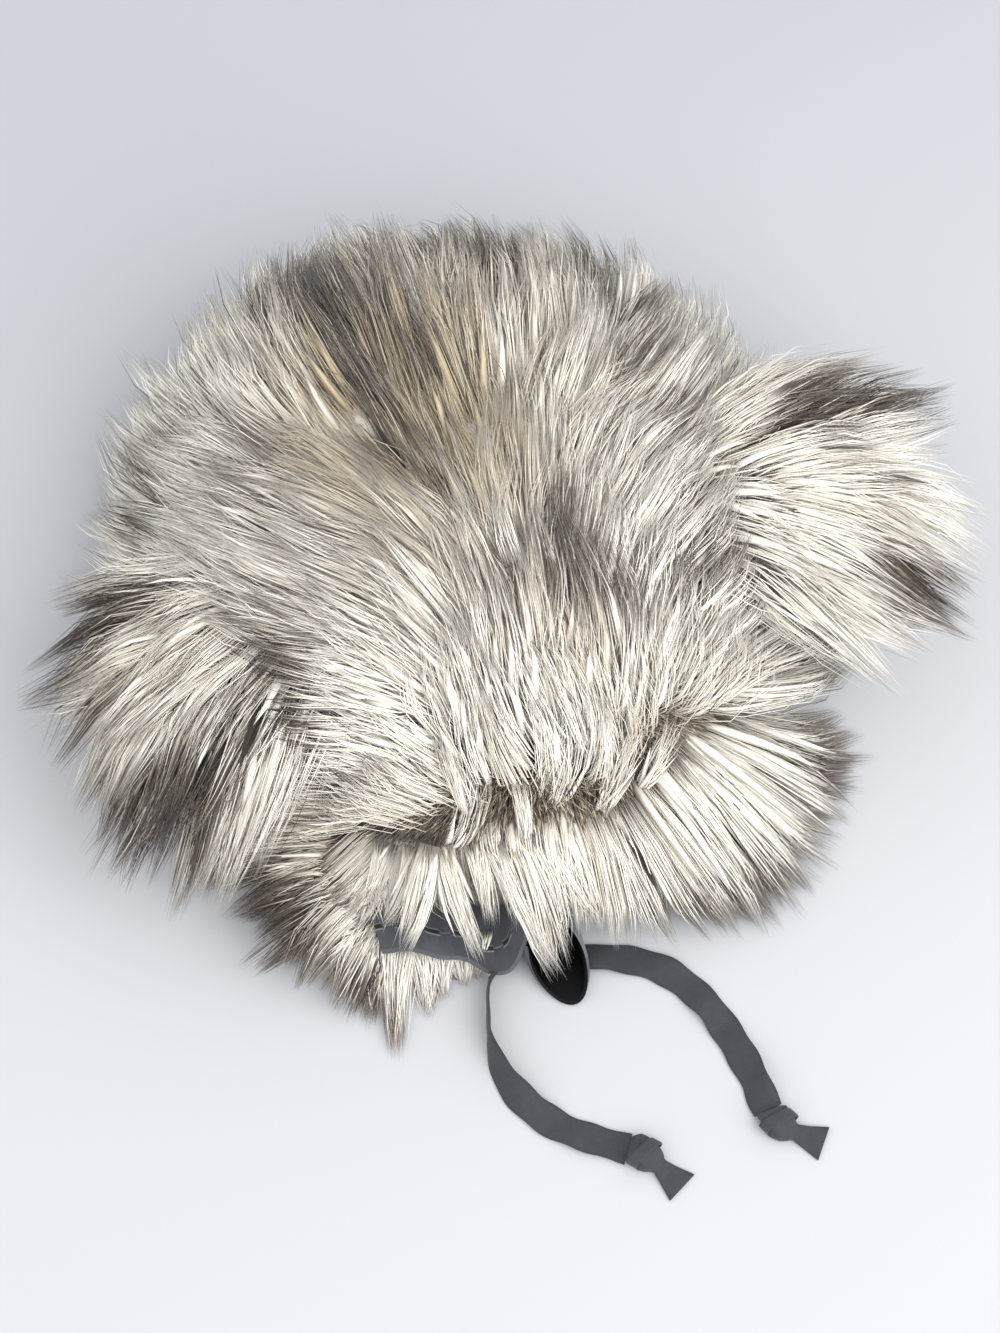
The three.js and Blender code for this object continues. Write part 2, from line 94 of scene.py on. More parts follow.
# Short dark fur shows along the parting. It grows on a strip between two turns, so many degrees of rise to
# each side of a line a little higher than the seam
UNDERFUR = {
    "turns": (226, 312), "columns": 60, "rows": 9, "half_wide": 6.5, "higher": 2.5,
    "length": 8, "stand": 10, "dark": 0.7, "ashen": 1.8,
}

# The dense lower part of the pile: its share of the pile's height, how far from the parting it starts and is
# full, and how far it keeps off the front in degrees of turn and off the neck edge in degrees of rise
UNDERCOAT = {
    "share": 0.36, "bare": 8, "full": 40, "face": (36, 58), "rim": 14, "blend": 6, "ear": (0.85, 1.3),
    "ripple": 0.12,
}

# The pile is longer behind, most of all on the left
BACK_SHARE = {
    "turn": [0, 30, 60, 80, 95, 115, 150, 180, 215, 235, 360],
    "share": [1.06, 1.1, 1.16, 1.3, 1.32, 1.32, 1.26, 1.12, 1.06, 1.0, 1.0],
}

# The crown's pile turns out towards an ear that is nearer than the first distance, and less up to the second
EAR_PULL = (34, 68)

# It stands less, by up to this loss, where it reaches into the room of an ear
EAR_PRESS = {"loss": 0.2, "room": (0.7, 1.15), "along": (0.4, 0.7, 1.0)}

# The pile swirls a little from place to place: angle in degrees, and the size of the swirls
SWIRLS = [(6, 29, 0.4), (6, 14, 2.1), (5, 8, 4.4)]

EARS = [
    {"name": "left", "side": -1, "x": 64, "y": -26, "z": 58, "fall": 10, "length": 58, "half_width": 34},
    {"name": "right", "side": 1, "x": 64, "y": -18, "z": 66, "fall": -2, "length": 56, "half_width": 32},
]
EAR = {"half_thick": 6, "reach": 66, "room_middle": 41, "room_wide": 50, "room_thick": 24, "clear": 4}

# The pile of an ear fans out, from spread degrees short of its sweep at the back to as many past it in front
EAR_PILES = {
    "left": {"length": 46, "stand": 15, "sweep": 36, "spread": 30, "steep": 1.6},
    "right": {"length": 46, "stand": 15, "sweep": 22, "spread": 42, "steep": 1.6},
}
EAR_RISE = {"along": [-0.15, 0.4, 1], "share": [1.3, 1.25, 0.9]}

# It is thin at the ear's base, and thinner still on the front of the base
EAR_COVER = {"along": [-0.15, 0.35], "share": [0.12, 1], "front": 0.8, "front_to": (0.1, 0.6)}

# Sections of the leaf under an ear's pile, from inside the hood's wall to its end
EAR_SECTIONS = {
    "along": [-0.35, 0.12, 0.38, 0.64, 0.86, 1.0],
    "wide": [0.55, 0.92, 1.0, 0.86, 0.54, 0.0],
    "thick": [0.8, 0.9, 1.0, 1.0, 0.8, 0.0],
}

# The chin corner is a flat tongue. Its pile fans out from a place behind it, and its lining covers it from a
# slanting front edge back to under the brim
CHIN_SECTIONS = {
    "out": [50, 80, 94, 108, 120, 126],
    "x": [-58, -59, -56, -51, -44, -40],
    "half_width": [14, 18, 18, 15, 9, 0],
    "half_thick": [3.4, 3.4, 3.4, 3.0, 2.4, 0],
}
CHIN_PILE = {
    "from": (-38, -74), "under": -0.7,
    "y": [-112, -78], "length": [27, 42], "x": [-68, -60], "stand": [24, 4],
}

CHIN_LINING_WAVE = [(-63, 9.2), (-54, 10.6), (-46, 9.6), (-39, 8.6), (-32, 5.2), (-25, 5.6)]
CHIN_FOLD = {"x": -11, "z": 9, "radius": 8, "from": 158, "to": -190, "turns": 16}
CHIN_CUT = {"x": -11, "y": -142, "z": 1, "normal": (-0.26, -0.53, 0.81), "left_more": 10, "left": (22, 52)}
CHIN_BACK = {"x": [-63, -40, -34], "y": [-59, -79, -92]}

# The brim's pile is denser on the left and shorter over the face. In front it hangs no lower than this, over
# the chin lining
BRIM_LEFT = {"more": 1.6, "x": (34, 42)}
BRIM_SHARE = {
    "turn": [225, 236, 243, 249, 262, 274, 290],
    "share": [1.05, 1.0, 0.66, 0.42, 0.46, 0.68, 1.0],
}
UNDER_BRIM = {"x": [-84, -68, -40, -30, -20, 0, 10, 26], "z": [2, 14, 14, 13, 19, 19, 8, 0.5]}

# The tape is strip_share as thick as the part's solid one. Its width and its bow change a little along it
TAPE = {"width": 9.5, "thick": 1.2, "z": 0.9, "strip_share": 0.7, "step": 1.6}
STRIP_COLUMNS = 8
TAPE_RIPPLE = {"width": 0.05, "width_rate": 0.5, "curl": 0.5, "curl_rate": 0.33}
TIE_LEFT_ROUTE = [
    (-31, -127.6), (-33, -131), (-34.6, -134.5), (-36, -139), (-37.1, -144), (-37.7, -149),
    (-37.6, -154.5), (-36.6, -160), (-34.6, -165.2), (-31.8, -170), (-28.4, -174.6), (-24.4, -178.8),
    (-19.8, -182.6), (-15, -185.8), (-10.4, -188.6), (-6, -191.2),
]
TIE_RIGHT_ROUTE = [
    (-4, -128), (0, -129), (4, -130), (8, -131.4), (12, -133), (16, -135.2), (20, -138.2),
    (23.6, -142), (26.8, -146.4), (29.6, -151.4), (31.9, -156.8), (33.7, -162.6), (35.1, -168.6),
    (36.2, -174.8), (37, -180.8), (37.6, -186.4), (38.2, -190.6),
]
KNOT_SECTIONS = {
    "along": [0, 2.2, 5.6, 8.6, 10.8, 14.5, 20],
    "wide": [3.8, 4.6, 4.9, 4.0, 2.5, 3.7, 5.6],
    "thick": [1.0, 2.9, 3.4, 2.6, 1.5, 0.8, 0.6],
}

# A knot turns to its own direction over the length of its bend, and is creased up to the tail
KNOT = {"bend": 10, "rows": 41, "around": 28, "boxy": 0.62}
KNOT_CREASE = {"deep": 0.1, "round": 3, "pitch": 0.55, "tail": (8, 12)}

# The turn of tape round a knot: where it lies, how it slants, and where it starts and ends, in half turns
KNOT_WRAP = {
    "along": 4.6, "tilt": 18, "width": 3.6, "thick": 0.7, "loose": 0.2,
    "start": -0.6, "end": 1.45, "steps": 45,
}

# How far round a tie is twisted from lying flat, along its length
TIES = {
    "left": {
        "route": TIE_LEFT_ROUTE, "length": 79, "along": [0, 5, 20, 34, 48, 62, 79],
        "twist": [70, 88, 86, 50, 14, -8, 0], "knot_turn": math.radians(-58),
    },
    "right": {
        "route": TIE_RIGHT_ROUTE, "length": 83, "along": [0, 14, 30, 46, 62, 74, 83],
        "twist": [-24, -6, 8, -10, 12, 34, 10], "knot_turn": math.radians(-36),
    },
}

# Nothing comes nearer to the floor than this: the pile, in metres, and the cloth, in millimetres
FLOOR_GAP = 0.0002
CLOTH_GAP = 0.05

# The chin lining's hem: a seam in a band that is thicker, with slits between its stitches painted near-black
# as their shadow, and a painted highlight round each
HEM = {"from_edge": 9, "rise": 0.45, "slit_shadow": 5.4, "open": 0.95, "pitch": 8.2, "rounded": 0.8}
PUCKER = {"high": 0.25, "rate": 1.5, "fades": 4}
CLOTH_STEP = 1.2
CLOTH_SAG = {"high": 0.5, "along": 0.21, "across": 0.13}
LINING_SHADES = (58, 59, 65), (78, 80, 87)
# The inside of the chin lining's fold, painted near-black as the shadow in it
FOLD_SHADOW_SHADES = (6, 6, 7), (10, 10, 12)
# Colours of the hem: a painted highlight round each slit, the stitches' thread, and the slits' painted shadow
HEM_SHADES = {"rim": (132, 135, 143), "stitch": (118, 121, 129), "slit_shadow": (10, 10, 12)}
LINING_SHEEN = {"Sheen Weight": 0.3}

# The photograph's view
CAMERA = {"azimuth": -15, "elevation": 62, "distance": 900, "target": (-0.6, -21.6, 0), "mm_per_pixel": 0.33}
PICTURE_ROWS = 1333
SENSOR = 36


# Camera


def make_camera():
    """The photograph's view, as an upright picture."""
    azimuth = math.radians(CAMERA["azimuth"])
    elevation = math.radians(CAMERA["elevation"])
    right = np.array([math.cos(azimuth), math.sin(azimuth), 0])
    level = math.cos(elevation)
    back = np.array([math.sin(azimuth) * level, -math.cos(azimuth) * level, math.sin(elevation)])
    up = np.cross(back, right)
    place = np.array(CAMERA["target"]) + back * CAMERA["distance"]
    camera = bpy.data.cameras.new("camera")
    camera.sensor_fit = "VERTICAL"
    camera.sensor_height = SENSOR
    camera.lens = SENSOR * CAMERA["distance"] / (PICTURE_ROWS * CAMERA["mm_per_pixel"])
    camera.clip_start = 0.01
    seen = bpy.data.objects.new("camera", camera)
    matrix = np.eye(4)
    matrix[:3, 0], matrix[:3, 1], matrix[:3, 2], matrix[:3, 3] = right, up, back, place * MM
    seen.matrix_world = matrix.T.tolist()
    bpy.context.collection.objects.link(seen)
    bpy.context.scene.camera = seen


make_camera()


# Node trees, written as Python expressions


def operators(operation):
    """An operator's method for a Wire, and its reflected form."""

    def forward(self, other):
        return self.pair(operation, self, other)

    def reflected(self, other):
        return self.pair(operation, other, self)

    return forward, reflected


class Wire:
    """An output of a node. Python's operators on it add Math or Vector Math nodes."""

    def __init__(self, pen, socket):
        self.pen = pen
        self.socket = socket

    def output(self, name):
        """Another output of the same node."""
        return Wire(self.pen, self.socket.node.outputs[name])

    def pair(self, operation, first, second):
        vectors = [isinstance(v, tuple) or (isinstance(v, Wire) and v.is_vector()) for v in (first, second)]
        kind = "ShaderNodeVectorMath" if any(vectors) else "ShaderNodeMath"
        return self.pen.add(kind, {"operation": operation}, {0: first, 1: second})

    def is_vector(self):
        return self.socket.type in {"VECTOR", "RGBA"}

    __add__, __radd__ = operators("ADD")
    __sub__, __rsub__ = operators("SUBTRACT")
    __mul__, __rmul__ = operators("MULTIPLY")
    __truediv__, __rtruediv__ = operators("DIVIDE")
    __pow__, __rpow__ = operators("POWER")


class Pen:
    """Writes nodes into one tree."""

    def __init__(self, tree):
        self.tree = tree

    def add(self, kind, settings=None, sockets=None, out=0):
        """A new node: its settings, then the values or wires of its sockets. Returns one output."""
        node = self.tree.nodes.new(kind)
        for name, value in (settings or {}).items():
            setattr(node, name, value)
        for name, value in (sockets or {}).items():
            self.join(value, node.inputs[name])
        return Wire(self, node.outputs[out]) if len(node.outputs) else node

    def join(self, value, socket):
        """Gives a socket a wire, a number, a vector, or a colour with parts from 0 to 255."""
        if isinstance(value, Wire):
            self.tree.links.new(value.socket, socket)
        elif socket.type == "VECTOR" and isinstance(value, (int, float)):
            socket.default_value = (value, value, value)
        elif socket.type == "RGBA":
            socket.default_value = colour(*value)
        else:
            socket.default_value = value

    def calc(self, operation, *values):
        return self.add("ShaderNodeMath", {"operation": operation}, dict(enumerate(values)))

    def vector(self, operation, *values, out=0):
        return self.add("ShaderNodeVectorMath", {"operation": operation}, dict(enumerate(values)), out)

    def unit(self, value):
        return self.vector("NORMALIZE", value)

    def length(self, value):
        return self.vector("LENGTH", value, out=1)

    def split(self, value):
        first = self.add("ShaderNodeSeparateXYZ", sockets={0: value})
        return first, first.output("Y"), first.output("Z")

    def combine(self, x, y, z):
        return self.add("ShaderNodeCombineXYZ", sockets={0: x, 1: y, 2: z})

    def clamp(self, value):
        return self.add("ShaderNodeClamp", sockets={0: value})

    def smooth(self, value, low, high):
        """0 up to low, 1 from high, and a soft step between."""
        settings = {"interpolation_type": "SMOOTHSTEP"}
        return self.add("ShaderNodeMapRange", settings, {"Value": value, "From Min": low, "From Max": high})

    def blend(self, first, second, share):
        """A mix of two colours."""
        return self.add("ShaderNodeMix", {"data_type": "RGBA"}, {0: share, 6: first, 7: second}, 2)

    def place(self):
        """The place on the piece, in metres."""
        return self.add("ShaderNodeTexCoord", out=3)

    def laid(self, name):
        """The place on a map."""
        return self.add("ShaderNodeUVMap", {"uv_map": name})

    def noise(self, place, scale, detail):
        return self.add("ShaderNodeTexNoise", sockets={"Vector": place, "Scale": scale, "Detail": detail})

    def named(self, name, kind="FLOAT_VECTOR"):
        """What each point has under a name: a vector, if nothing else is said."""
        return self.add("GeometryNodeInputNamedAttribute", {"data_type": kind}, {"Name": name})

    def number(self, name):
        return self.named(name, "FLOAT")

    def random(self, low, high, seed):
        settings = {"data_type": "FLOAT"}
        return self.add("FunctionNodeRandomValue", settings, {2: low, 3: high, 8: seed}, 1)

    def random_vector(self, seed):
        settings = {"data_type": "FLOAT_VECTOR"}
        return self.add("FunctionNodeRandomValue", settings, {0: (-1, -1, -1), 1: (1, 1, 1), 8: seed})

    def store(self, geometry, values, kind=None, domain="POINT"):
        """Stores values under their names, one after the other, as vectors or numbers if no kind is given."""
        for name, value in values.items():
            vector = isinstance(value, Wire) and value.is_vector()
            settings = {"data_type": kind or ("FLOAT_VECTOR" if vector else "FLOAT"), "domain": domain}
            sockets = {"Geometry": geometry, "Name": name, "Value": value}
            geometry = self.add("GeometryNodeStoreNamedAttribute", settings, sockets)
        return geometry


def colour(red, green, blue):
    """A colour as the eye sees it, 0 to 255, as the linear values that a shader takes."""
    parts = [part / 255 for part in (red, green, blue)]
    return (*(p / 12.92 if p <= 0.04045 else ((p + 0.055) / 1.055) ** 2.4 for p in parts), 1)


# Materials


def new_material(name, constants):
    """A material with one Principled shader and its constants. Returns it with its pen and that shader."""
    material = bpy.data.materials.new(name)
    material.use_nodes = True
    shader = material.node_tree.nodes["Principled BSDF"]
    for socket, value in constants.items():
        shader.inputs[socket].default_value = value
    return material, Pen(material.node_tree), shader


def bump(pen, shader, height, distance, strength=1.0):
    """Relief by a height from 0 to 1, over a distance in metres."""
    sockets = {"Height": height, "Distance": distance, "Strength": strength}
    pen.join(pen.add("ShaderNodeBump", sockets=sockets), shader.inputs["Normal"])


# Colours of the hair, from pale to taupe, at its body and its root, and from a pale tip to a dark one
HAIR_BODY = (246, 243, 234), (192, 177, 149)
HAIR_ROOT = (224, 217, 204), (92, 84, 78)
HAIR_TIP = (122, 106, 90), (43, 36, 30)

# Each hair takes its colour from one of these columns of its map, by how dark its tip is and by its tint
DARK_STEPS = 8
TINT_STEPS = 8
COLUMNS = DARK_STEPS * TINT_STEPS

# Fine hairs are drawn on the broad cores of the tufts, so many over all the columns, some of them darker
FIBRES = COLUMNS * 20
FIBRE_SHADE = (0.89, 0.86, 0.81)


def pile_material():
    """Hair that is paler from its root on, with a tip that is longer the darker it is."""
    constants = {"Roughness": 0.62, "Specular IOR Level": 0.2, "Sheen Weight": 0.2, "Sheen Roughness": 0.5}
    material, pen, shader = new_material("long_pile", constants)
    across, along, _ = pen.split(pen.laid("OFBake"))
    column = pen.calc("FLOOR", across * COLUMNS)
    dark_step = pen.calc("FLOOR", column / TINT_STEPS)
    tint = (column - dark_step * TINT_STEPS) / (TINT_STEPS - 1)
    dark = dark_step / (DARK_STEPS - 1)
    body = pen.blend(*HAIR_BODY, tint)
    root = pen.blend(*HAIR_ROOT, tint)
    hair = pen.blend(root, body, pen.smooth(along, 0.04, 0.32))
    fibres = pen.add("ShaderNodeTexNoise", {"noise_dimensions": "1D"}, {"W": across * FIBRES, "Detail": 2})
    hair = pen.blend(hair, hair * FIBRE_SHADE, pen.smooth(fibres, 0.42, 0.75))
    start = 1.04 - 0.68 * dark - 0.25 * fibres
    tipped = pen.smooth(along, start - 0.14, start + 0.12) * pen.clamp(dark * 3)
    tip = pen.blend(*HAIR_TIP, dark)
    pen.join(pen.blend(hair, tip, tipped), shader.inputs["Base Color"])
    return material


UNDERFUR_GREYS = (98, 92, 91), (146, 138, 134)
UNDERFUR_DEEP = (66, 61, 60)
UNDERFUR_PALE = (214, 209, 199), (176, 168, 156)


def underfur_material():
    """Matt grey underfur, pale where the piece has a number of that name."""
    material, pen, shader = new_material("underfur", {"Roughness": 0.95})
    patches = pen.noise(pen.place(), 90, 4)
    fibres = pen.noise(pen.place() * (1, 1, 0.3), 1500, 3)
    grey = pen.blend(*UNDERFUR_GREYS, patches)
    grey = pen.blend(grey, UNDERFUR_DEEP, pen.smooth(fibres, 0.5, 0.7))
    pale = pen.blend(*UNDERFUR_PALE, pen.smooth(fibres, 0.4, 0.8))
    depth = pen.add("ShaderNodeAttribute", {"attribute_name": "pale"}, out=2)
    pen.join(pen.blend(grey, pale, depth), shader.inputs["Base Color"])
    bump(pen, shader, fibres, 0.6 * MM)
    return material


def weave(pen, place, pitch):
    """Relief of a plain weave whose threads are a pitch apart, from 0 to 1."""
    x, y, _ = pen.split(place * (math.tau / pitch))
    return (pen.calc("SINE", x) * pen.calc("SINE", y) + 1) * 0.5


TAPE_SHADES = (28, 31, 35), (47, 51, 56)
TAPE_RIB = (70, 74, 80)
TAPE_EDGE = (34, 36, 40)


def tape_material():
    """Ribbed tape with paler ribs and darker edges, on its map in millimetres."""
    material, pen, shader = new_material("woven_tape", {"Sheen Weight": 0.12})
    place = pen.laid("cloth")
    across, _, _ = pen.split(place)
    ribs = weave(pen, place * (1, 2.2, 1), 1.3)
    mottle = pen.noise(place, 0.35, 5)
    edge = pen.smooth(pen.calc("ABSOLUTE", across), 3.9, 4.7)
    shade = pen.blend(*TAPE_SHADES, mottle)
    shade = pen.blend(shade, TAPE_RIB, ribs * 0.25)
    pen.join(pen.blend(shade, TAPE_EDGE, edge * 0.7), shader.inputs["Base Color"])
    pen.join(0.82 - ribs * 0.1, shader.inputs["Roughness"])
    bump(pen, shader, ribs * 0.6 + mottle * 0.4, 0.25 * MM, 0.8)
    return material


def lining_material(name, dark, light, constants):
    """Smooth cloth between two shades. Returns it with its pen, its shader, its shade and its relief."""
    material, pen, shader = new_material(name, constants)
    place = pen.place()
    mottle = pen.noise(place, 60, 4)
    shade = pen.blend(dark, light, pen.smooth(mottle, 0.35, 0.7))
    pen.join(shade, shader.inputs["Base Color"])
    pen.join(0.5 - mottle * 0.14, shader.inputs["Roughness"])
    relief = weave(pen, place, 0.7 * MM) * 0.3 + mottle * 0.7
    bump(pen, shader, relief, 0.3 * MM, 0.6)
    return material, pen, shader, shade, relief


def hemmed_material():
    """The lining's cloth with the stitches of its hem, and slits between them painted near-black as shadow,
    each with a painted highlight round it, on its map in millimetres.
    """
    material, pen, shader, shade, relief = lining_material("hemmed_satin", *LINING_SHADES, LINING_SHEEN)
    along, from_edge, _ = pen.split(pen.laid("cloth"))
    wander = pen.calc("SINE", along * 0.55) * 0.25
    off_line = pen.calc("ABSOLUTE", from_edge - HEM["from_edge"] - wander)
    in_pitch = pen.calc("PINGPONG", along, HEM["pitch"] / 2)
    open_part = 1 - pen.smooth(in_pitch, HEM["slit_shadow"] / 2 - 0.7, HEM["slit_shadow"] / 2)
    # Each slit is painted near-black as its shadow, and a ring round it paler as a painted highlight
    slit_shadow = open_part * (1 - pen.smooth(off_line, HEM["open"] - 0.25, HEM["open"]))
    rim = open_part * (1 - pen.smooth(off_line, HEM["open"], HEM["open"] + 0.6))
    stitch = (1 - open_part) * (1 - pen.smooth(off_line, 0.15, 0.45))
    shade = pen.blend(shade, HEM_SHADES["rim"], rim * 0.6)
    shade = pen.blend(shade, HEM_SHADES["stitch"], stitch * 0.7)
    pen.join(pen.blend(shade, HEM_SHADES["slit_shadow"], slit_shadow), shader.inputs["Base Color"])
    bump(pen, shader, relief * 0.3 + rim * 0.5 + stitch * 0.4 - slit_shadow, 0.6 * MM, 0.8)
    return material


# Meshes


def link(mesh, name, material=None):
    """A piece in the scene, with one material if one is given."""
    piece = bpy.data.objects.new(name, mesh)
    bpy.context.collection.objects.link(piece)
    if material:
        mesh.materials.clear()
        mesh.materials.append(material)
    return piece


def unit(vectors):
    return vectors / np.maximum(np.linalg.norm(vectors, axis=-1, keepdims=True), 1e-9)


def soft_step(value, low, high):
    """0 up to low, 1 from high, and a soft step between."""
    share = np.clip((value - low) / (high - low), 0, 1)
    return share * share * (3 - 2 * share)


# Grids of closed rings: where the first and the last lie, how many there are, and the points of each
RINGS = {
    "dome": (0, 89.9, 34, 96),
    "ear_skin": (-0.15, 0.985, 30, 32),
    "ear_pad": (-0.34, 0.995, 28, 32),
    "chin_skin": (-58, -125, 27, 24),
    "chin_backing": (-62, -125.6, 34, 32),
}


def rings(name):
    """Two grids for rows of closed rings: how far along each row lies, and how far round each point."""
    first, last, rows, around = RINGS[name]
    turn = np.linspace(0, 2 * math.pi, around + 1)[:-1]
    return np.meshgrid(np.linspace(first, last, rows), turn, indexing="ij")


def grid_mesh(name, points, around):
    """A mesh through rows of points in millimetres. Rows may close on themselves."""
    rows, columns = points.shape[:2]
    mesh = bpy.data.meshes.new(name)
    faces = []
    for row in range(rows - 1):
        for column in range(columns if around else columns - 1):
            after = (column + 1) % columns
            corners = (row, column), (row, after), (row + 1, after), (row + 1, column)
            faces.append([r * columns + c for r, c in corners])
    mesh.from_pydata((points.reshape(-1, 3) * MM).tolist(), [], faces)
    mesh.update()
    return mesh


def closed_mesh(name, points):
    """A mesh through rows of closed rings, with its ends filled and its faces outwards."""
    mesh = grid_mesh(name, points, True)
    made = bmesh.new()
    made.from_mesh(mesh)
    holes = [edge for edge in made.edges if edge.is_boundary]
    bmesh.ops.holes_fill(made, edges=holes, sides=0)
    bmesh.ops.recalc_face_normals(made, faces=made.faces)
    made.to_mesh(mesh)
    made.free()
    return mesh


def lay_map(mesh, name, across, along):
    """A map in millimetres for each corner, from one pair of values a point."""
    layer = mesh.uv_layers.new(name=name)
    places = np.stack([across.ravel(), along.ravel()], -1)
    corners = np.zeros(len(mesh.loops), np.int32)
    mesh.loops.foreach_get("vertex_index", corners)
    layer.data.foreach_set("uv", places[corners].astype(np.float32).ravel())


def smooth_line(points, step):
    """Points about a step apart on the smooth curve through a table's points."""
    points = np.array(points, float)
    ends = np.vstack([2 * points[0] - points[1], points, 2 * points[-1] - points[-2]])
    t = np.linspace(0, 1, 9)[:-1, None]
    parts = []
    for before, here, there, after in zip(ends, ends[1:], ends[2:], ends[3:]):
        straight = 2 * here + (there - before) * t
        bend = (2 * before - 5 * here + 4 * there - after) * t**2
        bend = bend + (3 * (here - there) + after - before) * t**3
        parts.append(0.5 * (straight + bend))
    return even_line(np.vstack([*parts, points[-1:]]), step)


def even_line(points, step):
    """Points evenly about a step apart on a line through points."""
    far = lengths_along(points)
    even = np.linspace(0, far[-1], max(2, round(far[-1] / step) + 1))
    return np.stack([np.interp(even, far, points[:, axis]) for axis in range(points.shape[1])], -1)


def lengths_along(points):
    return np.concatenate([[0], np.cumsum(np.linalg.norm(np.diff(points, axis=0), axis=1))])


def strip(name, line, side, above, width, thick, curl, look):
    """A closed flat strip along a line, bowed a little across, with a map of its own in millimetres."""
    share = np.linspace(-1, 1, STRIP_COLUMNS + 1)
    bow = curl[:, None] * (1 - share**2)
    edge = thick / 2 * (1 - 0.5 * share**6)
    middle = line[:, None] + side[:, None] * (share * 0.5)[None, :, None] * width[:, None, None]
    top = middle + above[:, None] * (bow + edge)[..., None]
    bottom = middle + above[:, None] * (bow - edge)[..., None]
    ring = np.concatenate([top, bottom[:, ::-1]], axis=1)
    mesh = closed_mesh(name, ring)
    both = np.concatenate([share, share[::-1]])
    lay_map(mesh, "cloth", both * width[:, None] / 2, lengths_along(line)[:, None] + 0 * both)
    return link(mesh, name, look)


def finish(piece, slot, *nodes):
    """Hides the nodes that a finished piece takes the place of, and hangs the piece under the root."""
    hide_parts(*nodes)
    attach(piece, "root")
    return piece


# Ties and knots

tape_look = tape_material()


def turned(vectors, about, angle):
    """Vectors turned by angles about unit vectors that are square to them."""
    return vectors * np.cos(angle)[:, None] + np.cross(about, vectors) * np.sin(angle)[:, None]


def tie_strip(name, tie):
    """A tie along its route on the floor, on edge in places. Returns its middle line too."""
    flat = smooth_line([(x, y, 0) for x, y in tie["route"]], TAPE["step"])
    far = lengths_along(flat)
    twist = np.radians(np.interp(far, tie["along"], tie["twist"]))
    ahead = unit(np.gradient(flat, axis=0))
    up = np.array([0.0, 0.0, 1.0])
    side = turned(np.cross(up, ahead), ahead, twist)
    above = turned(np.tile(up, (len(flat), 1)), ahead, twist)
    line = flat.copy()
    line[:, 2] = TAPE["z"] + np.abs(np.sin(twist)) * (TAPE["width"] - TAPE["thick"]) / 2
    width = TAPE["width"] * (1 + TAPE_RIPPLE["width"] * np.sin(far * TAPE_RIPPLE["width_rate"]))
    curl = TAPE_RIPPLE["curl"] * np.sin(far * TAPE_RIPPLE["curl_rate"])
    return strip(name, line, side, above, width, TAPE["thick"] * TAPE["strip_share"], curl, tape_look), line


def knot(name, tie):
    """The knot at a tie's end: creased round its middle, with a flared tail."""
    first, last = (np.array(point, float) for point in tie["route"][-2:])
    start_turn = math.atan2(*(last - first)[::-1])
    table = KNOT_SECTIONS
    along = np.linspace(table["along"][0], table["along"][-1], KNOT["rows"])
    angle = start_turn + (tie["knot_turn"] - start_turn) * np.minimum(along / KNOT["bend"], 1)
    ahead = np.stack([np.cos(angle), np.sin(angle), 0 * angle], -1)
    flat = np.append(last, 0) + np.cumsum(ahead * np.diff(along, prepend=0)[:, None], axis=0)
    side = np.stack([-ahead[:, 1], ahead[:, 0], 0 * angle], -1)
    wide = np.interp(along, table["along"], table["wide"])
    thick = np.interp(along, table["along"], table["thick"])
    around = np.linspace(0, 2 * math.pi, KNOT["around"] + 1)[:-1]
    knotted = 1 - soft_step(along, *KNOT_CREASE["tail"])
    fold = np.sin(KNOT_CREASE["round"] * around + KNOT_CREASE["pitch"] * along[:, None])
    crease = 1 + KNOT_CREASE["deep"] * knotted[:, None] * fold
    across, through = (np.sign(v) * np.abs(v) ** KNOT["boxy"] for v in (np.cos(around), np.sin(around)))
    points = flat[:, None] + side[:, None] * (wide[:, None] * across * crease)[..., None]
    points[..., 2] += thick[:, None] * (1 + through * crease) + CLOTH_GAP
    points[..., 2] = np.maximum(points[..., 2], CLOTH_GAP)
    mesh = closed_mesh(name, points)
    lay_map(mesh, "cloth", wide[:, None] * across, along[:, None] + 0 * across)
    middle = int(np.searchsorted(along, KNOT_WRAP["along"]))
    band = knot_wrap(name + "_wrap", flat[middle], side[middle], ahead[middle], wide[middle], thick[middle])
    return link(joined(mesh, band), name, tape_look)


def knot_wrap(name, middle, side, ahead, wide, thick):
    """The turn of tape round a knot, slanting across it."""
    up = np.array([0.0, 0.0, 1.0])
    turn = np.linspace(KNOT_WRAP["start"] * math.pi, KNOT_WRAP["end"] * math.pi, KNOT_WRAP["steps"])[:, None]
    wide, thick = wide + KNOT_WRAP["loose"], thick + KNOT_WRAP["loose"]
    slant = ahead * math.tan(math.radians(KNOT_WRAP["tilt"]))
    line = middle + up * thick + (side + slant) * wide * np.cos(turn) + up * thick * np.sin(turn)
    above = unit(side * np.cos(turn) / wide + up * np.sin(turn) / thick)
    across = unit(np.cross(above, unit(np.gradient(line, axis=0))))
    width = np.full(len(line), KNOT_WRAP["width"])
    piece = strip(name, line, across, above, width, KNOT_WRAP["thick"], 0 * width, tape_look)
    mesh = piece.data
    bpy.data.objects.remove(piece)
    for point in mesh.vertices:
        point.co.z = max(point.co.z, FLOOR_GAP)
    return mesh


def joined(mesh, other):
    """Both meshes as one."""
    made = bmesh.new()
    made.from_mesh(mesh)
    made.from_mesh(other)
    made.to_mesh(mesh)
    made.free()
    bpy.data.meshes.remove(other)
    return mesh


for side_name, tie in TIES.items():
    name = "tie_" + side_name
    tape, line = tie_strip(name + "_tape", tie)
    finish(tape, "tape", name)
    tied = finish(knot(name + "_end", tie), "tape", name + "_knot")


# The hood's form


def by_turn(turn, table, column):
    """A column of a table whose rows are degrees round the hood."""
    return np.interp(np.degrees(turn) % 360, table["turn"], table[column])


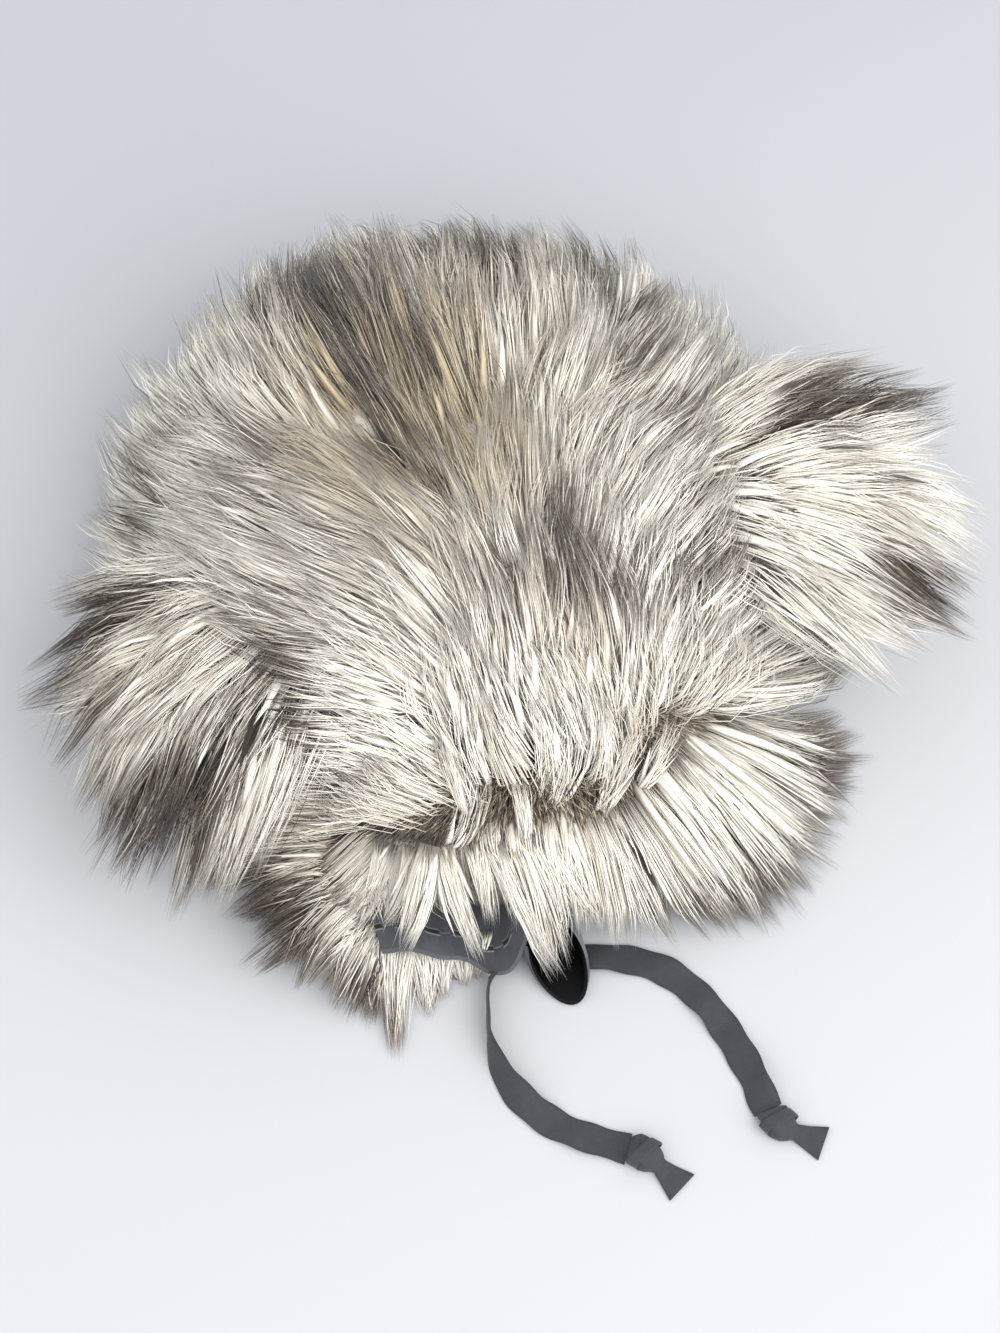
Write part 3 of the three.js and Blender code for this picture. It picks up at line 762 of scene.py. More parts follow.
def dome_point(turn, rise, grow=0.0):
    """Points of the dome: turn goes round the hood, rise from the neck edge to the top."""
    power = 2 / DOME["squareness"]
    flat = np.cos(rise) ** power
    x = (DOME["half_width"] + grow) * np.cos(turn) * flat
    y = (DOME["half_depth"] + grow) * np.sin(turn) * flat
    dip = DOME["dip"] * np.exp(-((x / DOME["dip_half_width"]) ** 2)) * np.sin(rise) ** 2
    z = (DOME["height"] + grow - dip) * np.sin(rise) ** power
    return np.stack([x, y, z], -1)


def dome_normal(turn, rise):
    """Which way the dome faces at each point."""
    step = 0.01
    up = np.minimum(rise, math.pi / 2 - 2 * step)
    around = dome_point(turn + step, up) - dome_point(turn - step, up)
    along = dome_point(turn, up + step) - dome_point(turn, np.maximum(up - step, 0))
    return unit(np.cross(around, along))


def skin_point(turn, rise):
    """Points of the skin that the pile grows from: the dome, thickened at the brow."""
    round_it = np.exp(-(((np.degrees(turn) % 360 - BROW["turn"]) / BROW["half_turn"]) ** 2))
    degrees = np.degrees(rise)
    up = soft_step(degrees, BROW["low"], BROW["full"]) * (1 - soft_step(degrees, BROW["ends"], BROW["gone"]))
    return dome_point(turn, rise, BROW["thick"] * round_it * up)


def seam_rise(turn):
    """Height of the seam, in degrees of rise, at each turn. There is none behind."""
    return by_turn(turn, SEAM_LINE, "rise")


def from_parting(points, raised=0.0):
    """The way off the parting at each point, felt from all of it, and how far off its nearest point is.

    The parting lies so many degrees higher than the seam.
    """
    turn = np.radians(np.linspace(PARTING["first"], PARTING["last"], PARTING["steps"]))
    line = skin_point(turn, np.radians(np.maximum(seam_rise(turn) + raised, 1)))
    offsets = points[..., None, :] - line
    far = np.linalg.norm(offsets, axis=-1, keepdims=True)
    pull = offsets / (far**2 + PARTING["soft"] ** 2) ** 1.7
    return unit(pull.sum(-2)), far[..., 0].min(-1)


def laid_down(comb, normal, share=1.0):
    """A comb without so much of the part that stands off the skin."""
    return unit(comb - share * (comb * normal).sum(-1)[..., None] * normal)


def swirled(points, normal, comb):
    """The comb, turned a little about the normal."""
    x, y, z = points[..., 0], points[..., 1], points[..., 2]
    angle = np.zeros(x.shape)
    for degrees, size, start in SWIRLS:
        angle += math.radians(degrees) * np.sin(x / size + start) * np.cos((y + 0.7 * z) / size - start)
    across = np.cross(normal, comb)
    return comb * np.cos(angle)[..., None] + across * np.sin(angle)[..., None]


def in_face(points):
    """Whether a point of the wall lies in the face opening."""
    x = (points[..., 0] - FACE["x"]) / FACE["half_width"]
    z = np.maximum(points[..., 2] - FACE["straight"], 0) / (FACE["height"] - FACE["straight"])
    return (x**2 + z**2 < 1) & (points[..., 1] < 0)


# Where along a hair its tip has its middle, and how long a usual hair is beside the longest
TIP_ALONG = 0.8
USUAL = 0.85


def tips_at(points, pile):
    """Where the middle of the tip of a usual hair comes to lie."""
    lifted = 1 - (1 - TIP_ALONG) ** LIFT_POWER
    tips = points + pile["lean"] * USUAL * TIP_ALONG**LEAN_POWER + pile["lift"] * USUAL * lifted
    tips = tips + pile["bend"] * TIP_ALONG**2
    tips[..., 2] = np.maximum(tips[..., 2] - SAG * TIP_ALONG**2, 0)
    return tips


# Patches of dark tipped and of taupe hair, by where the tips come to lie: x, y, z, radius, strength
DARK_PATCHES = [
    (-47, 100, 62, 10, 0.8), (-26, 79, 84, 13, 0.95), (-33, 104, 62, 12, 0.6), (-1, 110, 60, 12, 0.6),
    (9, 110, 58, 7, 0.9), (26, 95, 71, 10, 0.6), (-29, 50, 96, 10, 0.75), (-30, 29, 101, 9, 0.6),
    (-7, 44, 98, 10, 0.5), (-22, 6, 101, 10, 0.45), (-76, 34, 88, 10, 0.6), (-78, 7, 93, 7, 0.5),
    (-92, 67, 53, 7, 0.6), (-106, 50, 42, 10, 0.95), (-74, 84, 57, 6, 0.4), (19, -22, 101, 7, 0.5),
    (-1, -38, 100, 5, 0.6), (62, 81, 68, 7, 0.7), (72, 66, 74, 9, 0.6), (60, 34, 91, 10, 0.55),
    (31, 27, 97, 6, 0.4), (90, 53, 64, 7, 0.45), (70, 10, 87, 9, 0.45), (120, 15, 72, 7, 0.6),
    (101, -5, 77, 7, 0.6), (114, 0, 77, 10, 1.0), (128, 5, 75, 9, 0.9), (138, 4, 73, 9, 0.7),
    (146, 0, 74, 9, 0.7), (117, -29, 78, 7, 0.4), (118, -60, 66, 8, 1.0), (125, -66, 60, 9, 1.2),
    (66, -40, 84, 9, 0.55), (52, -47, 89, 6, 0.45), (19, -16, 102, 6, 0.4), (16, -33, 98, 6, 0.5),
    (13, -45, 96, 6, 0.4), (28, -51, 90, 8, 0.4), (93, -56, 64, 10, 0.5), (98, -51, 31, 10, 0.45),
    (-137, 4, 47, 9, 0.5), (-148, -9, 48, 9, 1.0), (-139, -3, 50, 9, 1.0), (-128, -3, 55, 9, 0.9),
    (-116, -2, 57, 9, 0.7), (-150, -19, 49, 10, 0.8), (-135, -35, 56, 9, 0.5), (-83, -40, 73, 9, 0.85),
    (-71, -27, 92, 7, 0.4), (-146, -56, 40, 12, 0.45), (-126, -68, 42, 12, 0.7), (-112, -68, 49, 12, 0.9),
    (-94, -66, 50, 12, 0.9), (-114, -72, 44, 10, 0.8), (-80, -60, 3, 9, 0.5), (-110, -94, 3, 17, 0.9),
    (-98, -112, 3, 14, 0.6), (-80, -128, 3, 13, 0.5), (101, -52, 22, 10, 0.55), (103, -63, 4, 10, 0.45),
    (92, -85, 4, 12, 0.45), (48, -111, 10, 7, 0.6), (54, -118, 6, 9, 0.5), (34, -126, 5, 10, 0.4),
    (70, -104, 4, 10, 0.3), (-66, -144, 2, 8, 0.6), (-104, -98, 6, 18, 0.9),
    (-92, -53, 50, 10, 0.7), (-102, -64, 40, 10, 0.7), (-82, -52, 63, 8, 0.5),
    (12, 103, 64, 9, 0.5), (33, 103, 62, 8, 0.45), (61, 93, 60, 9, 0.5), (72, 59, 76, 8, 0.5),
]
TAUPE_PATCHES = [
    (-34, 56, 94, 30, 0.7), (-7, 46, 97, 30, 0.7), (-25, 5, 105, 28, 0.6), (-51, 22, 102, 18, 0.4),
    (8, 11, 104, 24, 0.45), (-30, 100, 66, 26, 0.5), (20, 92, 72, 26, 0.5), (16, -50, 93, 12, 0.4),
    (4, -44, 99, 10, 0.3), (93, -7, 77, 12, 0.3),
    (-91, -53, 7, 19, 0.5), (-98, -90, 4, 20, 0.5), (-120, -14, 59, 19, 0.35), (-133, -37, 56, 14, 0.3),
    (-75, 2, 95, 16, 0.25), (57, 30, 92, 14, 0.3),
]
DARK_START = 0.12
TAUPE_START = 0.05

# Beside the parting the hairs are more taupe, the grey of their roots reaches further up, by the power of
# their map's place along them, and the cores are thinner
ASHEN_TINT = 0.5
ROOT_REACH = (0.8, 1.35)
CORE_LOSS = 0.75
LEAST_CORE = 0.1

# The lowest height of the pile, in millimetres, where nothing lies under it
LOW_PILE = 0.5


def patch_strength(patches, tips, start):
    """How strong a colour is at the tips, from 0 to 1, by its patches and by what it is everywhere."""
    total = np.full(tips.shape[:-1], float(start))
    for x, y, z, radius, strength in patches:
        far = np.linalg.norm(tips - np.array([x, y, z]), axis=-1)
        total += strength * np.exp(-((far / radius) ** 2))
    return np.clip(total, 0, 1)


def give(mesh, name, values):
    """Stores a number or a vector for each of the mesh's points."""
    vector = values.ndim > 1 and values.shape[-1] == 3
    attribute = mesh.attributes.new(name, "FLOAT_VECTOR" if vector else "FLOAT", "POINT")
    attribute.data.foreach_set("vector" if vector else "value", values.astype(np.float32).ravel())


def skin_mesh(name, points, around, pile):
    """The surface that a pile grows from, which isn't kept, with how the pile grows at each point."""
    mesh = grid_mesh(name, points, around)
    plain = np.zeros(points.shape[:-1])
    pile = {"bend": np.zeros(points.shape), "low": plain + LOW_PILE, "ashen": plain, "dark": 0, **pile}
    tips = tips_at(points, pile)
    taupe = patch_strength(TAUPE_PATCHES, tips, TAUPE_START)
    give(mesh, "cover", pile["cover"])
    for key in ("bend", "lean", "lift", "low"):
        give(mesh, key, pile[key] * MM)
    give(mesh, "dark", np.maximum(patch_strength(DARK_PATCHES, tips, DARK_START), pile["dark"]))
    give(mesh, "tint", np.clip(taupe + ASHEN_TINT * pile["ashen"], 0, 1))
    give(mesh, "root_reach", np.interp(pile["ashen"], [0, 1], ROOT_REACH))
    give(mesh, "core_share", np.clip(1 - CORE_LOSS * pile["ashen"], LEAST_CORE, 1))
    return mesh


# Single wisps: the middle of the roots, the one tip, how wide the roots lie, how far the wisp bows out, and
# its hairs
WISPS = [
    ((-53, -80, 14), (-71, -106, 9), 8, 7, 90),
    ((-46, -86, 20), (-61, -109, 14), 6, 7, 70),
    ((-41, -90, 26), (-58, -120, 14), 6, 8, 110),
    ((-37, -92, 27), (-36, -129, 16), 5, 9, 100),
    ((-28, -94, 29), (-29, -120, 18), 7, 8, 90),
    ((-23, -95, 30), (-21, -122, 19), 7, 8, 90),
    ((-19, -96, 31), (-15, -142, 18), 7, 11, 140),
    ((-13, -97, 31), (-8, -138, 18), 5, 10, 80),
    ((-9, -97, 32), (-4, -124, 18), 7, 9, 80),
    ((-2, -97, 32), (5, -128, 13), 8, 9, 90),
    ((-36, -90, 19), (-22, -84, 62), 4, 10, 40),
    ((-12, -96, 30), (-14, -92, 60), 6, 9, 70),
    ((12, -95, 31), (30, -80, 68), 4, 10, 45),
    ((25, -91, 31), (40, -80, 62), 3, 8, 30),
    ((-6, -90, 36), (8, -76, 78), 8, 10, 90),
    ((-26, -86, 36), (-34, -74, 78), 8, 10, 90),
]
CHIN_WISPS = [
    ((-34, -113, 4), (-36, -128, 1), 13, 3, 150),
    ((-39, -113, 4), (-41, -130, 1), 12, 3, 130),
    ((-44, -112, 4), (-48, -133, 1), 12, 3, 140),
    ((-48, -110, 4), (-54, -137, 1), 13, 3, 150),
    ((-55, -107, 4), (-67, -147, 1), 12, 4, 130),
    ((-61, -103, 5), (-73, -136, 1), 9, 5, 110),
    ((-66, -98, 5), (-77, -124, 1), 9, 5, 100),
]


def wisp_skin(name, root, tip, wide, rise):
    """A small patch of roots whose hairs all lean to one tip."""
    root, tip = np.array(root, float), np.array(tip, float)
    ahead = unit(tip - root)
    across = unit(np.cross(ahead, (0, 0, 1)))
    through = np.cross(across, ahead)
    half = wide / 2
    corners = [(-1, -0.4), (1, -0.4), (-1, 0.4), (1, 0.4)]
    points = np.array([root + across * half * a + through * half * b for a, b in corners]).reshape(2, 2, 3)
    outward = unit(np.array([root[0] * 0.4, root[1], abs(root[1]) * 0.5]))
    lift = np.tile(outward * rise, (2, 2, 1))
    pile = {"cover": np.ones((2, 2)), "lean": tip - points + (0, 0, SAG), "lift": lift, "bend": -lift}
    return skin_mesh(name, points, False, pile)


# Ears


def ear_frame(ear):
    """An ear's directions: out of the hood, across the ear to the back, and through it."""
    fall = math.radians(ear["fall"])
    out = np.array([ear["side"] * math.cos(fall), 0, -math.sin(fall)])
    across = np.array([0.0, 1.0, 0.0])
    return out, across, np.cross(out, across) * ear["side"]


def ear_base(ear):
    return np.array([ear["side"] * ear["x"], ear["y"], ear["z"]])


def ear_room(ear, points):
    """How far into the room kept for an ear a point lies; below 1 is inside."""
    out, across, through = ear_frame(ear)
    offset = points - ear_base(ear) - out * EAR["room_middle"]
    parts = [
        offset @ out / (EAR["reach"] + EAR["clear"]),
        offset @ across / (EAR["room_wide"] + EAR["clear"]),
        offset @ through / (EAR["room_thick"] + EAR["clear"]),
    ]
    return np.linalg.norm(np.stack(parts, -1), axis=-1)


def ear_points(ear, along, turn):
    """Points of an ear's leaf, so far along it and round its edge."""
    out, across, through = ear_frame(ear)
    wide = np.interp(along, EAR_SECTIONS["along"], EAR_SECTIONS["wide"]) * ear["half_width"]
    thick = np.interp(along, EAR_SECTIONS["along"], EAR_SECTIONS["thick"]) * EAR["half_thick"]
    points = ear_base(ear) + (along * ear["length"])[..., None] * out
    points = points + (np.cos(turn) * wide)[..., None] * across
    return points + (np.sin(turn) * thick)[..., None] * through


def turned_to_ears(points, normal, comb):
    """The crown's comb, turned out towards the ears beside it."""
    for ear in EARS:
        beside = 1 - soft_step(np.linalg.norm(points - ear_base(ear), axis=-1), *EAR_PULL)
        comb = comb + ear_frame(ear)[0] * beside[..., None]
    return laid_down(comb, normal)


def pressed_by_ears(points, lean, normal, stand):
    """How far the crown's pile stands up, less where it reaches into the room of an ear."""
    for ear in EARS:
        rooms = []
        for share in EAR_PRESS["along"]:
            lifted = normal * (stand * (1 - (1 - share) ** LIFT_POWER))[..., None]
            rooms.append(ear_room(ear, points + lean * share**LEAN_POWER + lifted))
        free = soft_step(np.min(rooms, axis=0), *EAR_PRESS["room"])
        stand = stand * (1 - EAR_PRESS["loss"] + EAR_PRESS["loss"] * free)
    return stand


# Skins

# The hood's skin has its columns so many degrees apart
SKIN_STEP = 2.5
SKIN_ROWS = 45


def hood_pile(turn, rise, part):
    """Points of the hood's skin, and how the pile of the crown or of the brim grows there."""
    crown = part == "crown"
    table = CROWN_PILE if crown else BRIM_PILE
    points = skin_point(turn, rise)
    normal = dome_normal(turn, rise)
    degrees = np.degrees(rise)
    away, far = from_parting(points, -PARTING["split"] if crown else PARTING["split"])
    near = 1 - soft_step(far, *PARTING["reach"])
    comb = swirled(points, normal, laid_down(away, normal))
    longer = by_turn(turn, BACK_SHARE, "share")
    length = np.interp(degrees, table["rise"], table["length"]) * longer
    stand = np.interp(degrees, table["rise"], table["stand"]) * longer
    above = degrees - seam_rise(turn)
    beside = (1 - soft_step(np.abs(above), SEAM_BARE, PARTING["sparse_to"])) * near
    thinned = 1 - (1 - PARTING[part + "_cover"]) * beside
    ashen = 1 - soft_step(far, PARTING["clear"], PARTING["ashen"])
    pile = {"ashen": ashen * by_turn(turn, PARTING, part + "_ashen")}
    if crown:
        comb = turned_to_ears(points, normal, comb)
        length = length * (1 + (by_turn(turn, FRONT_SHARE, "length") - 1) * near)
        stand = stand * (1 + (by_turn(turn, FRONT_SHARE, "stand") - 1) * near)
        stand = pressed_by_ears(points, comb * length[..., None], normal, stand)
        round_hood = near * length**2 / (DOME["half_width"] * 2)
        pile["bend"] = -normal * round_hood[..., None]
        pile["cover"] = (above > SEAM_BARE) * thinned
    else:
        share = by_turn(turn, BRIM_SHARE, "share")
        length = length * share
        stand = stand * share
        left = soft_step(-points[..., 0], *BRIM_LEFT["x"])
        pile["cover"] = (above < -SEAM_BARE) * thinned * ~in_face(points) * (1 + BRIM_LEFT["more"] * left)
        lining_top = np.interp(points[..., 0], UNDER_BRIM["x"], UNDER_BRIM["z"])
        pile["low"] = np.where(points[..., 1] < 0, lining_top, LOW_PILE)
    pile["lean"] = comb * length[..., None]
    pile["lift"] = normal * stand[..., None]
    return points, pile


def hood_skin(name, first, last, part):
    """Part of the dome between two turns, in degrees."""
    columns = int((last - first) / SKIN_STEP) + 1
    turns = np.radians(np.linspace(first, last, columns))
    rises = np.radians(np.linspace(1, 89, SKIN_ROWS))
    points, pile = hood_pile(*np.meshgrid(turns, rises), part)
    return skin_mesh(name, points, False, pile)


def parting_skin():
    """A strip along the parting, for its short underfur."""
    turns = np.radians(np.linspace(*UNDERFUR["turns"], UNDERFUR["columns"]))
    turn, share = np.meshgrid(turns, np.linspace(-1, 1, UNDERFUR["rows"]))
    rise = np.radians(np.maximum(seam_rise(turn) + share * UNDERFUR["half_wide"] + UNDERFUR["higher"], 1))
    points = skin_point(turn, rise)
    normal = dome_normal(turn, rise)
    pile = {
        "cover": ~in_face(points),
        "lean": laid_down(from_parting(points)[0], normal) * UNDERFUR["length"],
        "lift": normal * UNDERFUR["stand"],
        "ashen": np.full(turn.shape, UNDERFUR["ashen"]),
        "dark": UNDERFUR["dark"],
    }
    return skin_mesh("parting_skin", points, False, pile)


def ear_skin(ear):
    """The skin of an ear, with its pile fanned out to both edges."""
    along, turn = rings("ear_skin")
    out, across, through = ear_frame(ear)
    grow = EAR_PILES[ear["name"]]
    normal = unit(np.cos(turn)[..., None] * across + grow["steep"] * np.sin(turn)[..., None] * through)
    way = np.radians(grow["sweep"] - grow["spread"] * np.cos(turn))[..., None]
    comb = laid_down(out * np.cos(way) - across * np.sin(way), normal, 0.6)
    front = np.maximum(-np.cos(turn), 0) * (1 - soft_step(along, *EAR_COVER["front_to"]))
    cover = np.interp(along, EAR_COVER["along"], EAR_COVER["share"])
    pile = {
        "cover": cover * (1 - EAR_COVER["front"] * front),
        "lean": comb * grow["length"],
        "lift": normal * np.interp(along, EAR_RISE["along"], EAR_RISE["share"])[..., None] * grow["stand"],
    }
    return skin_mesh("ear_skin_" + ear["name"], ear_points(ear, along, turn), True, pile)


def chin_points(y, turn):
    """Points of the chin corner, a flat tongue that lies just above the floor."""
    columns = ("x", "half_width", "half_thick")
    x, wide, thick = (np.interp(-y, CHIN_SECTIONS["out"], CHIN_SECTIONS[column]) for column in columns)
    z = GAP + thick + np.sin(turn) * thick
    return np.stack([x + np.cos(turn) * wide, y, z], -1)


def chin_edge(x, z):
    """How far out the front edge of the chin lining lies."""
    across, out, up = CHIN_CUT["normal"]
    edge = CHIN_CUT["y"] - (across * (x - CHIN_CUT["x"]) + up * (z - CHIN_CUT["z"])) / out
    return edge - CHIN_CUT["left_more"] * soft_step(-x, *CHIN_CUT["left"])


def chin_skin():
    """The skin of the chin corner, with pile only where its lining leaves it free."""
    y, turn = rings("chin_skin")
    points = chin_points(y, turn)
    x, _, z = np.moveaxis(points, -1, 0)
    start_x, start_y = CHIN_PILE["from"]
    comb = unit(np.stack([x - start_x, y - start_y, 0 * y], -1))
    length = np.interp(y, CHIN_PILE["y"], CHIN_PILE["length"])
    stand = np.interp(x, CHIN_PILE["x"], CHIN_PILE["stand"])
    left = x < CHIN_LINING_WAVE[0][0] + 2
    in_front = y < chin_edge(x, z) - 1
    pile = {
        "cover": (np.sin(turn) > CHIN_PILE["under"]) & (left | in_front),
        "lean": comb * length[..., None],
        "lift": np.array([0.0, 0.0, 1.0]) * stand[..., None],
    }
    return skin_mesh("chin_skin", points, True, pile)


# The pile itself: locks, in them tufts, and in each tuft a broad smooth core with fine hairs round it

# Hairs and cores are thin spikes, fullest a quarter up. A core covers only the lower share of a hair's way,
# and sinks under its hairs, by so many metres at its tip
HAIR = {"sides": 3, "flatness": 0.7, "reach": 1.0, "sink": 0.0}
CORE = {"sides": 4, "segments": 4, "flatness": 0.35, "reach": 0.66, "sink": 0.0024}
FULLNESS = 2.2

# How locks and tufts differ: the seed's shift, the shortest, the flattest, and the spread of their lean
LOCKS = (100, 0.8, 0.75, 0.1)
TUFTS = (200, 0.7, 0.6, 0.13)

# Shifts of the seed: for the hairs, and for single random numbers of theirs and of the tufts
HAIR_SEED = 300
SHADE_SEED, DARK_SEED, STRAY_SEED, TINT_SEED = 210, 310, 311, 312

# How far the dark and the tint of hairs differ. A few hairs anywhere have a dark tip, the fewer the higher
# the power
DARK_RANGE = (0.5, 1.35)
STRAY = {"power": 12, "dark": 0.7}
TUFT_SHADE = 0.45
HAIR_SHADE = 0.08

# How far a hair is bowed to its side with its tuft, with its lock and by itself
SWAY = {"tuft_": 0.05, "tuft_lock_": 0.05, "": 0.03}

# The inputs of the pile, with the kind of their sockets. Widths are in metres and counts are densities
PILE_INPUTS = {
    "Skin": "Geometry", "Hairs": "Float", "Tufts": "Float", "Locks": "Float", "Seed": "Int", "Width": "Float",
    "Core width": "Float", "Segments": "Int", "Spread": "Float", "Shortest": "Float", "Flattest": "Float",
    "Tuft pull": "Float", "Lock pull": "Float",
}


def pile_tree(material):
    """The node group that grows a pile of a material on a skin."""
    tree = bpy.data.node_groups.new("pile", "GeometryNodeTree")
    for name, kind in PILE_INPUTS.items():
        tree.interface.new_socket(name, in_out="INPUT", socket_type="NodeSocket" + kind)
    tree.interface.new_socket("Pile", in_out="OUTPUT", socket_type="NodeSocketGeometry")
    pen = Pen(tree)
    take = pen.add("NodeGroupInput").output
    seed = take("Seed")

    def scatter(density, salt, shortest, flattest, spread):
        """Points on the skin, each with its own lean, lift and sway."""
        sockets = {"Mesh": take("Skin"), "Density": density * pen.number("cover"), "Seed": seed + salt}
        points = pen.add("GeometryNodeDistributePointsOnFaces", {"distribute_method": "RANDOM"}, sockets)
        jitter = pen.random_vector(seed + salt + 1) * (pen.length(pen.named("lean")) * spread)
        own = {
            "root": pen.add("GeometryNodeInputPosition"),
            "lean": pen.named("lean") * pen.random(shortest, 1, seed + salt + 2) + jitter,
            "lift": pen.named("lift") * pen.random(flattest, 1, seed + salt + 3) + jitter * 0.5,
            "sway": pen.random(-1, 1, seed + salt + 4),
        }
        return pen.store(points, own)

    def follow(points, leaders, prefix, names):
        """Copies what the nearest leader has to each point, under a name with a prefix."""
        nearest = pen.add("GeometryNodeSampleNearest", {"domain": "POINT"}, {"Geometry": leaders})
        points = pen.store(points, {prefix + "index": nearest}, "INT")
        index = pen.named(prefix + "index", "INT")
        for name, kind in names.items():
            settings = {"data_type": kind, "domain": "POINT"}
            sockets = {"Geometry": leaders, "Value": pen.named(name, kind), "Index": index}
            copied = pen.add("GeometryNodeSampleIndex", settings, sockets)
            points = pen.store(points, {prefix + name: copied}, kind)
        return points

    form = {**dict.fromkeys(("root", "lean", "lift", "bend"), "FLOAT_VECTOR"), "sway": "FLOAT"}
    led = {**form, **{"lock_" + name: kind for name, kind in form.items()}, "shade": "FLOAT"}
    locks = scatter(take("Locks"), *LOCKS)
    tufts = follow(scatter(take("Tufts"), *TUFTS), locks, "lock_", form)
    tufts = pen.store(tufts, {"shade": pen.random(-0.5, 0.5, seed + SHADE_SEED)})
    hairs = scatter(take("Hairs"), HAIR_SEED, take("Shortest"), take("Flattest"), take("Spread"))
    hairs = follow(hairs, tufts, "tuft_", led)
    cores = follow(tufts, tufts, "tuft_", led)

    stray = pen.random(0, 1, seed + STRAY_SEED) ** STRAY["power"] * STRAY["dark"]
    dark = pen.clamp(pen.number("dark") * pen.random(*DARK_RANGE, seed + DARK_SEED) + stray)
    tint = pen.number("tint") + pen.number("tuft_shade") * TUFT_SHADE
    tint = pen.clamp(tint + pen.random(-HAIR_SHADE, HAIR_SHADE, seed + TINT_SEED))
    level = pen.calc("FLOOR", dark * (DARK_STEPS - 0.01))
    column = level * TINT_STEPS + pen.calc("FLOOR", tint * (TINT_STEPS - 0.01))

    def planted(points, segments, width, kind):
        """One thin spike for each point, with its place along itself and its size still to be used."""
        size = {"Radius Top": 0, "Radius Bottom": 1, "Depth": 1}
        sockets = {"Vertices": kind["sides"], "Side Segments": segments, **size}
        spike = pen.add("GeometryNodeMeshCone", {"fill_type": "NGON"}, sockets)
        spike = pen.store(spike, {"spike": pen.add("GeometryNodeInputPosition")})
        points = pen.store(points, {"column": column})
        spikes = pen.add("GeometryNodeInstanceOnPoints", sockets={"Points": points, "Instance": spike})
        spikes = pen.add("GeometryNodeRealizeInstances", sockets={"Geometry": spikes})
        shape = {key: kind[key] for key in ("reach", "sink", "flatness")}
        return pen.store(spikes, {"width": width, **shape})

    pile = pen.add("GeometryNodeJoinGeometry")
    for spikes in (
        planted(hairs, take("Segments"), take("Width"), HAIR),
        planted(cores, CORE["segments"], take("Core width") * pen.number("core_share"), CORE),
    ):
        pen.join(spikes, pile.socket.node.inputs[0])

    x, y, share = pen.split(pen.named("spike"))
    along = share * pen.number("reach")
    leaning = along**LEAN_POWER
    lifting = 1 - (1 - along) ** LIFT_POWER

    def course(prefix):
        """Where a hair's own form, its tuft's or its lock's puts this place along it."""
        root, lean, lift, bend = (pen.named(prefix + name) for name in ("root", "lean", "lift", "bend"))
        return root + lean * leaning + lift * lifting + bend * (along * along)

    lean, lift = pen.named("lean"), pen.named("lift")
    side = pen.unit(pen.vector("CROSS_PRODUCT", lean, lift))
    ahead = lean * (LEAN_POWER * along**0.25) + lift * (LIFT_POWER * (1 - along) ** 0.7)
    above = pen.unit(pen.vector("CROSS_PRODUCT", side, ahead))
    own = course("")
    own = own + (course("tuft_") - own) * (take("Tuft pull") * along**1.3)
    own = own + (course("tuft_lock_") - own) * (take("Lock pull") * along**2)
    sways = [pen.number(prefix + "sway") * amount for prefix, amount in SWAY.items()]
    bowed = (sways[0] + sways[1] + sways[2]) * (along * (1 - along) * 4)
    own_x, own_y, own_z = pen.split(own + side * (bowed * pen.length(lean)))
    low = pen.number("low") * pen.smooth(along, 0, 0.25) + along * 0.001
    own_z = pen.calc("SMOOTH_MAX", own_z - along * along * (SAG * MM), low, 0.004)
    thick = (1 + FULLNESS * share) * pen.number("width") * 0.5
    place = pen.combine(own_x, own_y, own_z) + side * (x * thick)
    place = place + above * (y * thick * pen.number("flatness") - pen.number("sink") * share)
    place_x, place_y, place_z = pen.split(place)
    place = pen.combine(place_x, place_y, pen.calc("MAXIMUM", place_z, FLOOR_GAP))
    pile = pen.add("GeometryNodeSetPosition", sockets={"Geometry": pile, "Position": place})

    # A hair's map lies inside its column, from edge to edge of its spike, and nearly as high as the map
    edge = 0.5 + y / (1.74 * (1 - share) + 0.001)
    across = (pen.number("column") + 0.1 + 0.8 * pen.clamp(edge)) / COLUMNS
    bake_map = pen.combine(across, 0.02 + 0.96 * along ** pen.number("root_reach"), 0)
    pile = pen.store(pile, {"OFBake": bake_map}, "FLOAT2", "CORNER")
    pile = pen.add("GeometryNodeSetShadeSmooth", sockets={0: pile})
    pile = pen.add("GeometryNodeSetMaterial", sockets={"Geometry": pile, "Material": material})
    pen.add("NodeGroupOutput", sockets={"Pile": pile})
    return tree


def covered_area(mesh):
    """The skin's area in square metres, each face weighed by its cover."""
    cover = np.zeros(len(mesh.vertices), np.float32)
    mesh.attributes["cover"].data.foreach_get("value", cover)
    total = 0.0
    for face in mesh.polygons:
        total += face.area * float(np.mean([cover[v] for v in face.vertices]))
    return total


# What a pile's mesh keeps besides what the program itself needs
KEPT = {"position", "OFBake", "sharp_face", "material_index", ".edge_verts", ".corner_vert", ".corner_edge"}


def grown(name, skin, counts, values):
    """A pile of so many hairs, tufts and locks on a skin, as a plain mesh object."""
    bed = link(skin, name + "_bed")
    modifier = bed.modifiers.new("pile", "NODES")
    modifier.node_group = pile_nodes
    area = covered_area(skin)
    sockets = {item.name: item for item in pile_nodes.interface.items_tree if item.in_out == "INPUT"}
    for key, value in {**{key: count / area for key, count in counts.items()}, **values}.items():
        modifier[sockets[key].identifier] = value
    depsgraph = bpy.context.evaluated_depsgraph_get()
    mesh = bpy.data.meshes.new_from_object(bed.evaluated_get(depsgraph))
    bed.modifiers.remove(modifier)
    bpy.data.objects.remove(bed)
    for attribute in list(mesh.attributes):
        if attribute.name not in KEPT and not attribute.is_internal:
            mesh.attributes.remove(attribute)
    mesh.name = name
    return link(mesh, name)


underfur_look = underfur_material()
pile_nodes = pile_tree(pile_material())

